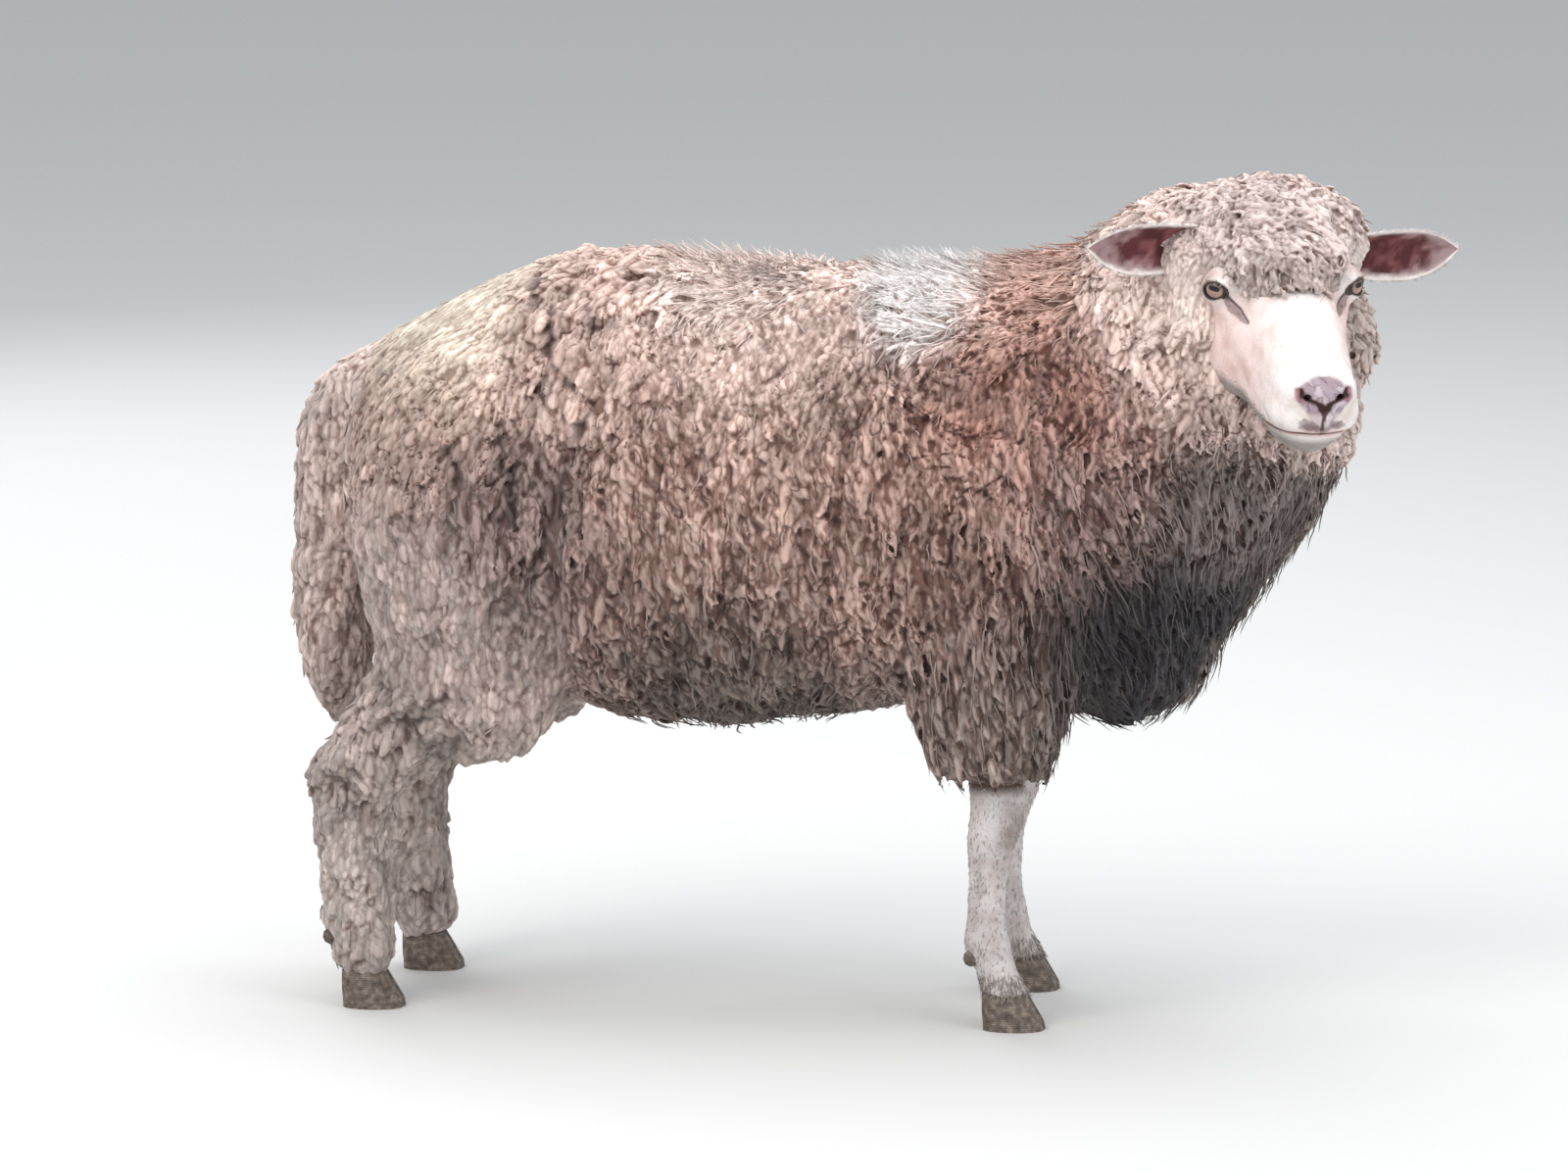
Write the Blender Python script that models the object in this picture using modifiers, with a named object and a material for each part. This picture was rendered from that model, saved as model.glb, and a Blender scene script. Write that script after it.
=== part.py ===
"""A standing sheep in full wool, head turned to its right, as a life-size museum model.

X runs forward along the body, Y to the animal's left and Z up. The hooves stand on Z = 0.
Every size is taken out to the tips of the fleece. The flesh is blended into one body and
then parted with thin cuts, so that neighbouring pieces meet a hair's breadth apart.
"""

import math

import bmesh
import bpy
from mathutils import Matrix, Vector

# Driving dimensions, metres
GAP = 0.0003                  # clearance between two pieces that meet
CENTRE_X, CENTRE_Y = 0.0108, 0.0307   # shifts the sheep so that its box stands over the origin
LEG_SPREAD = 0.095            # from the middle of the body to each foot
LEFT_HIND_AHEAD = 0.017       # the left hind leg stands this far ahead of the right one
LEFT_FORE_AHEAD = -0.013      # and the left foreleg this far behind its neighbour
HEAD_SIZE = 1.05              # the head's own sizes below are for a head 0.25 m long
HEAD_AT = Vector((0.3735, -0.060, 0.719))  # middle of the line between the ears
HEAD_YAW, HEAD_PITCH = math.radians(-67), math.radians(22)
EYE_RADIUS = 0.0138
HOOF_TOP = 0.036              # height of the line where hair meets hoof
CLEFT = 0.0036                # gap between the two claws of a foot
DEWCLAW_HEIGHT = 0.068
DEWCLAW_BACK = {"fore": 0.0165, "hind": 0.0170}   # behind the foot line

HEAD = (
    Matrix.Translation(HEAD_AT)
    @ Matrix.Rotation(HEAD_YAW, 4, "Z")
    @ Matrix.Rotation(HEAD_PITCH, 4, "Y")
    @ Matrix.Scale(HEAD_SIZE, 4)
)

# Trunk: x, top of the back, underline, half width, squareness of the section
TRUNK = (
    (-0.505, 0.595, 0.450, 0.060, 2.0),
    (-0.480, 0.636, 0.390, 0.100, 2.1),
    (-0.430, 0.664, 0.345, 0.138, 2.2),
    (-0.360, 0.699, 0.322, 0.158, 2.3),
    (-0.300, 0.717, 0.292, 0.166, 2.3),
    (-0.230, 0.721, 0.275, 0.176, 2.3),
    (-0.140, 0.718, 0.271, 0.185, 2.3),
    (-0.045, 0.713, 0.283, 0.187, 2.3),
    (0.050, 0.714, 0.298, 0.178, 2.3),
    (0.120, 0.722, 0.298, 0.160, 2.2),
    (0.180, 0.716, 0.290, 0.140, 2.1),
    (0.240, 0.680, 0.284, 0.118, 2.0),
    (0.290, 0.600, 0.312, 0.090, 2.0),
)

# Neck: centre x, y, z, half depth along the throat-to-crest line, half width, lean of that line
NECK = (
    (0.200, 0.000, 0.520, 0.222, 0.145, 26),
    (0.280, -0.006, 0.575, 0.186, 0.128, 29),
    (0.330, -0.016, 0.634, 0.167, 0.120, 34),
    (0.366, -0.034, 0.674, 0.145, 0.114, 35),
    (0.388, -0.050, 0.702, 0.114, 0.100, 32),
)

# Legs: height, x ahead of the foot line, y outside the foot line, half length, half width
FORELEG_X = 0.123
FORELEG = (
    (0.420, 0.000, 0.010, 0.075, 0.055),
    (0.330, 0.000, 0.006, 0.078, 0.056),
    (0.290, 0.000, 0.004, 0.073, 0.052),
    (0.260, 0.001, 0.002, 0.061, 0.048),
    (0.240, 0.002, 0.000, 0.053, 0.044),
    (0.227, 0.006, 0.000, 0.036, 0.034),
    (0.216, 0.006, 0.000, 0.0270, 0.0250),
    (0.195, 0.003, 0.000, 0.0250, 0.0225),
    (0.170, 0.000, 0.000, 0.0220, 0.0200),
    (0.140, -0.003, 0.000, 0.0180, 0.0165),
    (0.105, -0.004, 0.000, 0.0185, 0.0165),
    (0.080, -0.003, 0.000, 0.0220, 0.0190),
    (0.058, 0.005, 0.000, 0.0200, 0.0190),
    (0.030, 0.014, 0.000, 0.0210, 0.0215),
)
HINDLEG_X = -0.496
HINDLEG = (
    (0.420, 0.130, 0.008, 0.090, 0.055),
    (0.340, 0.116, 0.008, 0.090, 0.054),
    (0.290, 0.088, 0.007, 0.082, 0.050),
    (0.260, 0.058, 0.006, 0.075, 0.046),
    (0.238, 0.027, 0.004, 0.061, 0.042),
    (0.212, 0.003, 0.003, 0.043, 0.0370),
    (0.165, 0.002, 0.002, 0.0345, 0.0330),
    (0.110, 0.006, 0.001, 0.0330, 0.0320),
    (0.072, 0.010, 0.000, 0.0335, 0.0325),
    (0.052, 0.013, 0.000, 0.0300, 0.0300),
    (0.030, 0.014, 0.000, 0.0235, 0.0240),
)

# Tail: height, x, half length, half width. It hangs free behind the thighs.
TAIL = (
    (0.620, -0.470, 0.030, 0.036),
    (0.592, -0.508, 0.036, 0.044),
    (0.540, -0.528, 0.036, 0.046),
    (0.460, -0.534, 0.036, 0.046),
    (0.380, -0.535, 0.037, 0.046),
    (0.320, -0.530, 0.034, 0.041),
    (0.280, -0.524, 0.025, 0.030),
    (0.258, -0.520, 0.012, 0.014),
)

# Bare head, in its own frame: distance along it, top, widest level, underside, half width, fullness
SKULL = (
    (-0.070, 0.015, -0.020, -0.060, 0.034, 2.0),
    (-0.040, 0.038, -0.008, -0.084, 0.052, 2.1),
    (0.000, 0.048, 0.000, -0.098, 0.059, 2.2),
    (0.040, 0.050, -0.004, -0.100, 0.0600, 2.2),
    (0.070, 0.045, -0.018, -0.095, 0.0565, 2.2),
    (0.100, 0.036, -0.028, -0.087, 0.0500, 2.2),
    (0.130, 0.026, -0.031, -0.078, 0.0440, 2.3),
    (0.158, 0.017, -0.028, -0.070, 0.0400, 2.3),
    (0.182, 0.009, -0.026, -0.065, 0.0370, 2.4),
    (0.199, -0.001, -0.026, -0.059, 0.0315, 2.3),
    (0.209, -0.012, -0.028, -0.051, 0.0220, 2.0),
)

# Rounded masses of the wool and the flesh: centre, half sizes
HIND_MASSES = (
    ((-0.375, 0.098, 0.470), (0.116, 0.078, 0.185)),    # thigh
    ((-0.362, 0.106, 0.320), (0.078, 0.056, 0.078)),    # stifle
)
FORE_MASSES = (
    ((0.115, 0.096, 0.480), (0.112, 0.080, 0.200)),     # shoulder
    ((0.130, 0.104, 0.360), (0.086, 0.060, 0.090)),     # upper arm
)
BRISKET = ((0.235, 0.0, 0.365), (0.090, 0.090, 0.085))
TOPKNOT = ((-0.012, 0.0, 0.022), (0.072, 0.097, 0.058))
FORELOCK = ((0.048, 0.0, 0.040), (0.044, 0.060, 0.027))
NAPE = ((-0.060, 0.0, -0.010), (0.052, 0.080, 0.060))
CHEEK_WOOL = ((-0.022, 0.067, -0.080), (0.060, 0.051, 0.058))
ORBIT = ((0.047, 0.0470, 0.0190), (0.024, 0.0195, 0.0205))
JAW_MUSCLE = ((0.050, 0.030, -0.052), (0.056, 0.029, 0.045))
NOSTRIL_WING = ((0.190, 0.018, -0.016), (0.018, 0.014, 0.016))
UPPER_LIP = ((0.180, 0.016, -0.041), (0.027, 0.022, 0.017))
CHIN = ((0.178, 0.0, -0.061), (0.022, 0.022, 0.011))
EYE = (0.0560, 0.0585, 0.0185)

# Ear: length, half width at its broadest, depth of its cup, wall
EAR_LENGTH, EAR_HALF_WIDTH, EAR_CUP, EAR_WALL = 0.118, 0.0270, 0.020, 0.0052
# Where each ear is rooted in the head's frame, and how far it turns forward and droops, degrees
RIGHT_EAR = ((0.006, 0.054, 0.034), 5, -2)
LEFT_EAR = ((0.004, 0.062, 0.018), -4, 1)

COLOURS = {                   # base colour, roughness
    "fleece": ((0.40, 0.31, 0.26), 0.95),
    "face": ((0.74, 0.62, 0.57), 0.80),
    "ear": ((0.66, 0.46, 0.43), 0.75),
    "short_hair": ((0.62, 0.57, 0.52), 0.85),
    "eye": ((0.10, 0.07, 0.04), 0.10),
    "horn": ((0.16, 0.13, 0.11), 0.55),
}


def clear_scene():
    for old in list(bpy.data.objects):
        bpy.data.objects.remove(old, do_unlink=True)


def new_collection(name):
    made = bpy.data.collections.new(name)
    bpy.context.scene.collection.children.link(made)
    return made


def material(name):
    """Each finish is made once and shared by the pieces that wear it."""
    if name in bpy.data.materials:
        return bpy.data.materials[name]
    colour, roughness = COLOURS[name]
    made = bpy.data.materials.new(name)
    made.use_nodes = True
    shader = made.node_tree.nodes["Principled BSDF"]
    shader.inputs["Base Color"].default_value = (*colour, 1.0)
    shader.inputs["Roughness"].default_value = roughness
    shader.inputs["Metallic"].default_value = 0.0
    return made


def object_of(name, bm, collection):
    mesh = bpy.data.meshes.new(name)
    bm.to_mesh(mesh)
    bm.free()
    made = bpy.data.objects.new(name, mesh)
    collection.objects.link(made)
    return made


def evaluated_copy(source, name, collection):
    """A new object that holds what source's modifiers make of it."""
    graph = bpy.context.evaluated_depsgraph_get()
    mesh = bpy.data.meshes.new_from_object(source.evaluated_get(graph))
    mesh.name = name
    made = bpy.data.objects.new(name, mesh)
    made.matrix_world = source.matrix_world
    collection.objects.link(made)
    return made


# Forms --------------------------------------------------------------------------------------

def eased(stations, steps):
    """Stations with steps more between each pair, on a smooth curve through all of them."""
    made = []
    last = len(stations) - 1
    for i in range(last):
        before, here, after, beyond = (
            stations[max(0, min(last, i + k))] for k in (-1, 0, 1, 2)
        )
        for step in range(steps):
            t = step / steps
            made.append(tuple(
                0.5 * (2 * b + (c - a) * t + (2 * a - 5 * b + 4 * c - d) * t * t
                       + (3 * b - a - 3 * c + d) * t ** 3)
                for a, b, c, d in zip(before, here, after, beyond)
            ))
    made.append(tuple(stations[-1]))
    return made


def ring(centre, across, upward, half_width, above, below, fullness, sides=28):
    """A closed section: an ellipse, squarer as fullness passes 2, with its own rise and drop."""
    points = []
    for k in range(sides):
        turn = 2 * math.pi * k / sides
        c, s = math.cos(turn), math.sin(turn)
        x = half_width * math.copysign(abs(c) ** (2 / fullness), c)
        z = (above if s > 0 else below) * math.copysign(abs(s) ** (2 / fullness), s)
        points.append(centre + across * x + upward * z)
    return points


def loft(bm, rings):
    """A closed skin through the rings, added to bm."""
    loops = [[bm.verts.new(p) for p in points] for points in rings]
    faces = []
    for one, two in zip(loops, loops[1:]):
        for k in range(len(one)):
            n = (k + 1) % len(one)
            faces.append(bm.faces.new((one[k], one[n], two[n], two[k])))
    faces.append(bm.faces.new(reversed(loops[0])))
    faces.append(bm.faces.new(loops[-1]))
    bmesh.ops.recalc_face_normals(bm, faces=faces)


def ellipsoid(bm, place, centre, half_sizes, mirrored=False):
    """A rounded mass in the frame of place, and its twin across Y where mirrored."""
    for side in (1, -1) if mirrored else (1,):
        at = Vector((centre[0], centre[1] * side, centre[2]))
        shape = Matrix.Diagonal((*half_sizes, 1.0))
        bmesh.ops.create_uvsphere(
            bm, u_segments=24, v_segments=16, radius=1.0,
            matrix=place @ Matrix.Translation(at) @ shape,
        )


def trunk_form(bm):
    across, upward = Vector((0, 1, 0)), Vector((0, 0, 1))
    rings = []
    for x, top, bottom, half_width, fullness in eased(TRUNK, 3):
        half = (top - bottom) / 2
        centre = Vector((x, 0, bottom + half))
        rings.append(ring(centre, across, upward, half_width, half, half, fullness))
    loft(bm, rings)
    body = Matrix.Identity(4)
    ellipsoid(bm, body, *BRISKET)
    for mass in HIND_MASSES + FORE_MASSES:
        ellipsoid(bm, body, *mass, mirrored=True)


def neck_form(bm):
    """The neck leans forward as it rises, and swings to the right with the head."""
    rings = []
    for x, y, z, half_depth, half_width, lean in eased(NECK, 3):
        swing = math.atan2(y, 0.16)
        across = Vector((-math.sin(swing), math.cos(swing), 0))
        tilt = math.radians(lean)
        upward = Vector((-math.sin(tilt), 0, math.cos(tilt)))
        rings.append(ring(
            Vector((x, y, z)), across, upward, half_width, half_depth, half_depth, 2.2
        ))
    loft(bm, rings)


def leg_form(bm, stations, foot_x, side):
    across, forward = Vector((0, side, 0)), Vector((1, 0, 0))
    rings = []
    for z, ahead, outside, half_length, half_width in eased(stations, 3):
        centre = Vector((foot_x + ahead, side * (LEG_SPREAD + outside), z))
        rings.append(ring(
            centre, across, forward, half_width, half_length, half_length, 2.1, sides=20
        ))
    loft(bm, rings)


def foot_x(stations, side):
    """Where a leg's foot line stands: the left legs are a little closer together."""
    if stations is FORELEG:
        return FORELEG_X + (LEFT_FORE_AHEAD if side > 0 else 0.0)
    return HINDLEG_X + (LEFT_HIND_AHEAD if side > 0 else 0.0)


def head_form(bm):
    rings = []
    across, upward = Vector((0, 1, 0)), Vector((0, 0, 1))
    for u, top, level, bottom, half_width, fullness in eased(SKULL, 3):
        points = ring(
            Vector((u, 0, level)), across, upward, half_width, top - level,
            level - bottom, fullness,
        )
        rings.append([HEAD @ p for p in points])
    loft(bm, rings)
    for mass in (TOPKNOT, FORELOCK, NAPE, CHIN):
        ellipsoid(bm, HEAD, *mass)
    for mass in (CHEEK_WOOL, ORBIT, JAW_MUSCLE, NOSTRIL_WING, UPPER_LIP):
        ellipsoid(bm, HEAD, *mass, mirrored=True)


def blended(name, forms, voxel, rounds, faces_kept, collection):
    """The forms as one smooth closed body, made light enough to part."""
    bm = bmesh.new()
    for form in forms:
        form(bm)
    rough = object_of(name + "_forms", bm, collection)
    remesh = rough.modifiers.new("blend", "REMESH")
    remesh.mode = "VOXEL"
    remesh.voxel_size = voxel
    smooth = rough.modifiers.new("ease", "SMOOTH")
    smooth.factor = 0.6
    smooth.iterations = rounds
    fine = evaluated_copy(rough, name + "_fine", collection)
    lighten = fine.modifiers.new("lighten", "DECIMATE")
    lighten.ratio = faces_kept / (2 * len(fine.data.polygons))
    made = evaluated_copy(fine, name, collection)
    bpy.data.objects.remove(rough)
    bpy.data.objects.remove(fine)
    return made


# Parting ------------------------------------------------------------------------------------

def keep_side(bm, point, normal):
    """Cuts bm with a plane, keeps what lies along the normal, and closes the cut flat."""
    normal = Vector(normal).normalized()
    cut = bmesh.ops.bisect_plane(
        bm, geom=bm.verts[:] + bm.edges[:] + bm.faces[:], dist=1e-6,
        plane_co=Vector(point) + normal * GAP / 2, plane_no=normal, clear_inner=True,
    )
    edges = [e for e in cut["geom_cut"] if isinstance(e, bmesh.types.BMEdge)]
    filled = bmesh.ops.triangle_fill(
        bm, use_beauty=True, use_dissolve=False, edges=edges, normal=-normal
    )
    assert filled["geom"] or not edges, "a cut was left open"
    bmesh.ops.recalc_face_normals(bm, faces=bm.faces)


def largest_body(bm):
    """Drops scraps that a plane shaved off, keeping the one largest body."""
    left = set(bm.verts)
    bodies = []
    while left:
        start = left.pop()
        body, edge = {start}, [start]
        while edge:
            vert = edge.pop()
            for link in vert.link_edges:
                other = link.other_vert(vert)
                if other not in body:
                    body.add(other)
                    edge.append(other)
        left -= body
        bodies.append(body)
    bodies.sort(key=len)
    scraps = [v for body in bodies[:-1] for v in body]
    bmesh.ops.delete(bm, geom=scraps, context="VERTS")


def part_off(whole, name, finish, planes, collection):
    """One node: the piece of whole on the inner side of each plane (point, normal)."""
    bm = bmesh.new()
    bm.from_mesh(whole.data)
    for point, normal in planes:
        keep_side(bm, point, normal)
    largest_body(bm)
    made = object_of(name, bm, collection)
    made.data.materials.append(material(finish))
    made.data.shade_smooth()
    made.data.set_sharp_from_angle(angle=math.radians(50))
    return made


def opposite(plane):
    point, normal = plane
    return point, tuple(-n for n in normal)


def cutter_from(source, name, cutters):
    """A copy of source swollen by the gap, to cut its neighbours with."""
    swollen = evaluated_copy(source, name, cutters)
    swell = swollen.modifiers.new("swell", "DISPLACE")
    swell.strength = GAP * 1.6
    swell.mid_level = 0.0
    swollen.hide_render = True
    swollen.display_type = "WIRE"
    return swollen


def cut_away(target, cutter):
    cut = target.modifiers.new("clear_" + cutter.name, "BOOLEAN")
    cut.operation = "DIFFERENCE"
    cut.object = cutter
    cut.solver = "EXACT"


# Pieces -------------------------------------------------------------------------------------

NECK_TO_TRUNK = ((0.281, 0.0, 0.575), (0.862, 0.0, 0.507))
HEAD_TO_NECK = ((0.250, -0.020, 0.775), (0.60, -0.50, 0.62))
FORE_TO_BARREL = ((0.018, 0.0, 0.0), (1, 0, 0))
BARREL_TO_HIND = ((-0.272, 0.0, 0.0), (1, 0, 0))
FORELEG_TOP = ((0.0, 0.0, 0.280), (0, 0, 1))
HINDLEG_TOP = ((0.0, 0.0, 0.297), (0, 0, 1))
KNEE = ((0.0, 0.0, 0.224), (0, 0, 1))
HOCK = ((0.0, 0.0, 0.212), (0, 0, 1))
CORONET = ((0.0, 0.0, HOOF_TOP), (0, 0, 1))


def body_pieces(parts, scratch):
    whole = blended(
        "body", (trunk_form, neck_form, head_form, *all_legs()), 0.0065, 8, 3500, scratch
    )
    part_off(whole, "neck", "fleece", (NECK_TO_TRUNK, opposite(HEAD_TO_NECK)), parts)
    part_off(
        whole, "forequarters", "fleece",
        (opposite(NECK_TO_TRUNK), FORE_TO_BARREL, FORELEG_TOP), parts,
    )
    part_off(whole, "barrel", "fleece", (opposite(FORE_TO_BARREL), BARREL_TO_HIND), parts)
    part_off(whole, "hindquarters", "fleece", (opposite(BARREL_TO_HIND), HINDLEG_TOP), parts)
    for side, word in ((-1, "right"), (1, "left")):
        mid_plane = ((0.0, 0.0, 0.0), (0, side, 0))
        fore = (opposite(FORELEG_TOP), FORE_TO_BARREL, mid_plane)
        hind = (opposite(HINDLEG_TOP), opposite(BARREL_TO_HIND), mid_plane)
        part_off(whole, f"foreleg_{word}", "fleece", (*fore, KNEE), parts)
        part_off(
            whole, f"foreshank_{word}", "short_hair", (*fore, opposite(KNEE), CORONET), parts
        )
        part_off(whole, f"hindleg_{word}", "fleece", (*hind, HOCK), parts)
        part_off(
            whole, f"hindshank_{word}", "fleece", (*hind, opposite(HOCK), CORONET), parts
        )
    bpy.data.objects.remove(whole)


def all_legs():
    return [
        lambda bm, stations=stations, side=side: leg_form(
            bm, stations, foot_x(stations, side), side
        )
        for stations in (FORELEG, HINDLEG)
        for side in (-1, 1)
    ]


def head_pieces(parts, cutters, scratch):
    whole = blended("head_blend", (head_form, neck_form), 0.0042, 3, 2250, scratch)
    head = part_off(whole, "head", "face", (HEAD_TO_NECK,), parts)
    bpy.data.objects.remove(whole)
    solid_head = cutter_from(head, "head_swollen", cutters)
    for side, word in ((-1, "right"), (1, "left")):
        eye = eye_ball(f"eye_{word}", side, parts)
        cut_away(head, cutter_from(eye, f"socket_{word}", cutters))
        cut_away(head, nostril(f"nostril_{word}", side, cutters))
        ear = ear_leaf(f"ear_{word}", side, parts, scratch)
        cut_away(ear, solid_head)
    cut_away(head, mouth_slit(cutters))


def eye_ball(name, side, parts):
    bm = bmesh.new()
    at = HEAD @ Vector((EYE[0], EYE[1] * side, EYE[2]))
    bmesh.ops.create_uvsphere(
        bm, u_segments=14, v_segments=8, radius=EYE_RADIUS, matrix=Matrix.Translation(at)
    )
    made = object_of(name, bm, parts)
    made.data.materials.append(material("eye"))
    made.data.shade_smooth()
    return made


def helper(made):
    made.hide_render = True
    made.display_type = "WIRE"
    return made


def nostril(name, side, cutters):
    """A slanting almond, sunk into the wing of the nose."""
    bm = bmesh.new()
    place = HEAD @ Matrix.Translation((0.2045, 0.0145 * side, -0.0170))
    slant = Matrix.Rotation(math.radians(38 * side), 4, "X")
    bmesh.ops.create_uvsphere(
        bm, u_segments=12, v_segments=8, radius=1.0,
        matrix=place @ slant @ Matrix.Diagonal((0.009, 0.0085, 0.0038, 1.0)),
    )
    return helper(object_of(name, bm, cutters))


def mouth_slit(cutters):
    """A thin wedge round the front of the muzzle, under the upper lip."""
    bm = bmesh.new()
    place = HEAD @ Matrix.Translation((0.160, 0.0, -0.0490)) @ Matrix.Rotation(0.06, 4, "Y")
    inner, outer, half_height, steps = 0.0230, 0.0520, 0.0008, 16
    loops = []
    for z in (-half_height, half_height):
        for radius in (inner, outer):
            turns = (math.pi * (k / steps - 0.5) for k in range(steps + 1))
            loops.append([
                bm.verts.new(place @ Vector((
                    1.35 * radius * math.cos(turn), radius * math.sin(turn), z
                )))
                for turn in turns
            ])
    low_in, low_out, high_in, high_out = loops
    for k in range(steps):
        bm.faces.new((low_in[k], low_out[k], low_out[k + 1], low_in[k + 1]))
        bm.faces.new((high_in[k], high_in[k + 1], high_out[k + 1], high_out[k]))
        bm.faces.new((low_out[k], high_out[k], high_out[k + 1], low_out[k + 1]))
        bm.faces.new((low_in[k], low_in[k + 1], high_in[k + 1], high_in[k]))
    for k in (0, steps):
        bm.faces.new((low_in[k], high_in[k], high_out[k], low_out[k]))
    bmesh.ops.recalc_face_normals(bm, faces=bm.faces)
    return helper(object_of("mouth", bm, cutters))


def ear_leaf(name, side, parts, scratch):
    """A cupped leaf, open to the front, rooted in the wool of the head."""
    bm = bmesh.new()
    lengths, widths = 9, 6
    base, sweep, droop = LEFT_EAR if side > 0 else RIGHT_EAR
    sweep, droop = math.radians(sweep), math.radians(droop)
    rows = []
    for i in range(lengths + 1):
        s = i / lengths
        out = EAR_LENGTH * s
        half = EAR_HALF_WIDTH * ear_breadth(s)
        cup = EAR_CUP * (1.0 - 0.75 * s)
        row = []
        for k in range(widths + 1):
            t = 2 * k / widths - 1
            u = base[0] + out * math.sin(sweep) + cup * (t * t - 0.5)
            v = base[1] + out * math.cos(sweep) * math.cos(droop)
            w = base[2] - out * math.sin(droop) + half * t
            row.append(bm.verts.new(HEAD @ Vector((u, v * side, w))))
        rows.append(row)
    for one, two in zip(rows, rows[1:]):
        for k in range(widths):
            bm.faces.new((one[k], one[k + 1], two[k + 1], two[k]))
    bmesh.ops.recalc_face_normals(bm, faces=bm.faces)
    leaf = object_of(name + "_leaf", bm, scratch)
    wall = leaf.modifiers.new("wall", "SOLIDIFY")
    wall.thickness = EAR_WALL
    wall.offset = 0.0
    made = evaluated_copy(leaf, name, parts)
    bpy.data.objects.remove(leaf)
    made.data.materials.append(material("ear"))
    made.data.shade_smooth()
    made.data.set_sharp_from_angle(angle=math.radians(60))
    return made


def ear_breadth(s):
    """Breadth along the ear as a share of the broadest: full at 0.45, with a soft point."""
    if s < 0.45:
        return 0.66 + 0.34 * math.sin(math.pi * s / 0.90)
    return max(0.10, (1.0 - ((s - 0.45) / 0.56) ** 2) ** 0.80)


def tail_piece(parts, cutters, scratch):
    bm = bmesh.new()
    across, forward = Vector((0, 1, 0)), Vector((1, 0, 0))
    rings = [
        ring(Vector((x, 0, z)), across, forward, half_width, half_length, half_length, 2.1,
             sides=10)
        for z, x, half_length, half_width in eased(TAIL, 2)
    ]
    loft(bm, rings)
    tail = object_of("tail", bm, parts)
    tail.data.materials.append(material("fleece"))
    tail.data.shade_smooth()
    for name in ("hindquarters", "hindleg_right", "hindleg_left"):
        cut_away(tail, cutter_from(bpy.data.objects[name], name + "_swollen", cutters))


def feet(parts):
    """Two claws to a foot, flat on the floor, and two dewclaws behind each fetlock."""
    for stations, place in ((FORELEG, "fore"), (HINDLEG, "hind")):
        for side, word in ((-1, "right"), (1, "left")):
            x = foot_x(stations, side) + stations[-1][1]
            y = side * LEG_SPREAD
            for half, which in ((-1, "inner"), (1, "outer")):
                claw(f"claw_{place}_{word}_{which}", x, y, half * side, parts)


def dewclaws(parts, cutters):
    """Two small horny nubs at the back of each fetlock."""
    for stations, place in ((FORELEG, "fore"), (HINDLEG, "hind")):
        for side, word in ((-1, "right"), (1, "left")):
            shank = bpy.data.objects[f"{place}shank_{word}"]
            clear = cutter_from(shank, shank.name + "_swollen", cutters)
            back = foot_x(stations, side) - DEWCLAW_BACK[place]
            for half, which in ((-1, "inner"), (1, "outer")):
                bm = bmesh.new()
                at = Vector((back, side * LEG_SPREAD + half * side * 0.0095, DEWCLAW_HEIGHT))
                tilt = Matrix.Rotation(math.radians(-25), 4, "Y")
                bmesh.ops.create_uvsphere(
                    bm, u_segments=6, v_segments=5, radius=1.0,
                    matrix=Matrix.Translation(at) @ tilt @ Matrix.Diagonal(
                        (0.0095, 0.0062, 0.0085, 1.0)
                    ),
                )
                nub = object_of(f"dewclaw_{place}_{word}_{which}", bm, parts)
                nub.data.materials.append(material("horn"))
                nub.data.shade_smooth()
                cut_away(nub, clear)


def claw(name, x, y, half, parts):
    """One claw: a flat sole with a straight inner wall, sloping up to the hair line."""
    bm = bmesh.new()
    # height, middle x, half length, full width
    levels = (
        (0.0, 0.0085, 0.0295, 0.0235),
        (0.006, 0.0080, 0.0292, 0.0238),
        (0.018, 0.0040, 0.0262, 0.0225),
        (0.028, 0.0010, 0.0232, 0.0208),
        (HOOF_TOP - GAP, -0.0012, 0.0208, 0.0190),
    )
    rings = []
    for z, middle, half_length, width in levels:
        points = []
        for k in range(9):
            turn = math.pi * (k / 8 - 0.5)
            along = math.sin(turn)
            reach = width * max(0.0, math.cos(turn)) ** 0.55
            toe_in = 0.0030 * max(0.0, along) ** 2
            points.append(Vector((
                x + middle + half_length * along,
                y + half * (CLEFT / 2 + max(0.0, reach - toe_in)),
                z,
            )))
        for k in range(1, 3):
            along = 1 - 2 * k / 3
            points.append(Vector((x + middle + half_length * along, y + half * CLEFT / 2, z)))
        rings.append(points)
    loft(bm, rings)
    bmesh.ops.remove_doubles(bm, verts=bm.verts, dist=1e-5)
    bmesh.ops.recalc_face_normals(bm, faces=bm.faces)
    made = object_of(name, bm, parts)
    made.data.materials.append(material("horn"))
    made.data.shade_smooth()
    made.data.set_sharp_from_angle(angle=math.radians(40))


def stand_over_origin(parts):
    """Hangs every piece on one empty, placed so that the box stands over the origin."""
    sheep = bpy.data.objects.new("sheep", None)
    parts.objects.link(sheep)
    sheep.location = (CENTRE_X, CENTRE_Y, 0.0)
    return sheep


def build():
    clear_scene()
    parts = new_collection("standing_sheep")
    cutters = new_collection("cutters")
    scratch = new_collection("scratch")
    body_pieces(parts, scratch)
    head_pieces(parts, cutters, scratch)
    tail_piece(parts, cutters, scratch)
    feet(parts)
    dewclaws(parts, cutters)
    sheep = stand_over_origin(parts)
    for piece in list(parts.objects) + list(cutters.objects):
        if piece is not sheep:
            piece.parent = sheep
    bpy.data.collections.remove(scratch)


build()
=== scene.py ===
import math

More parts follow.
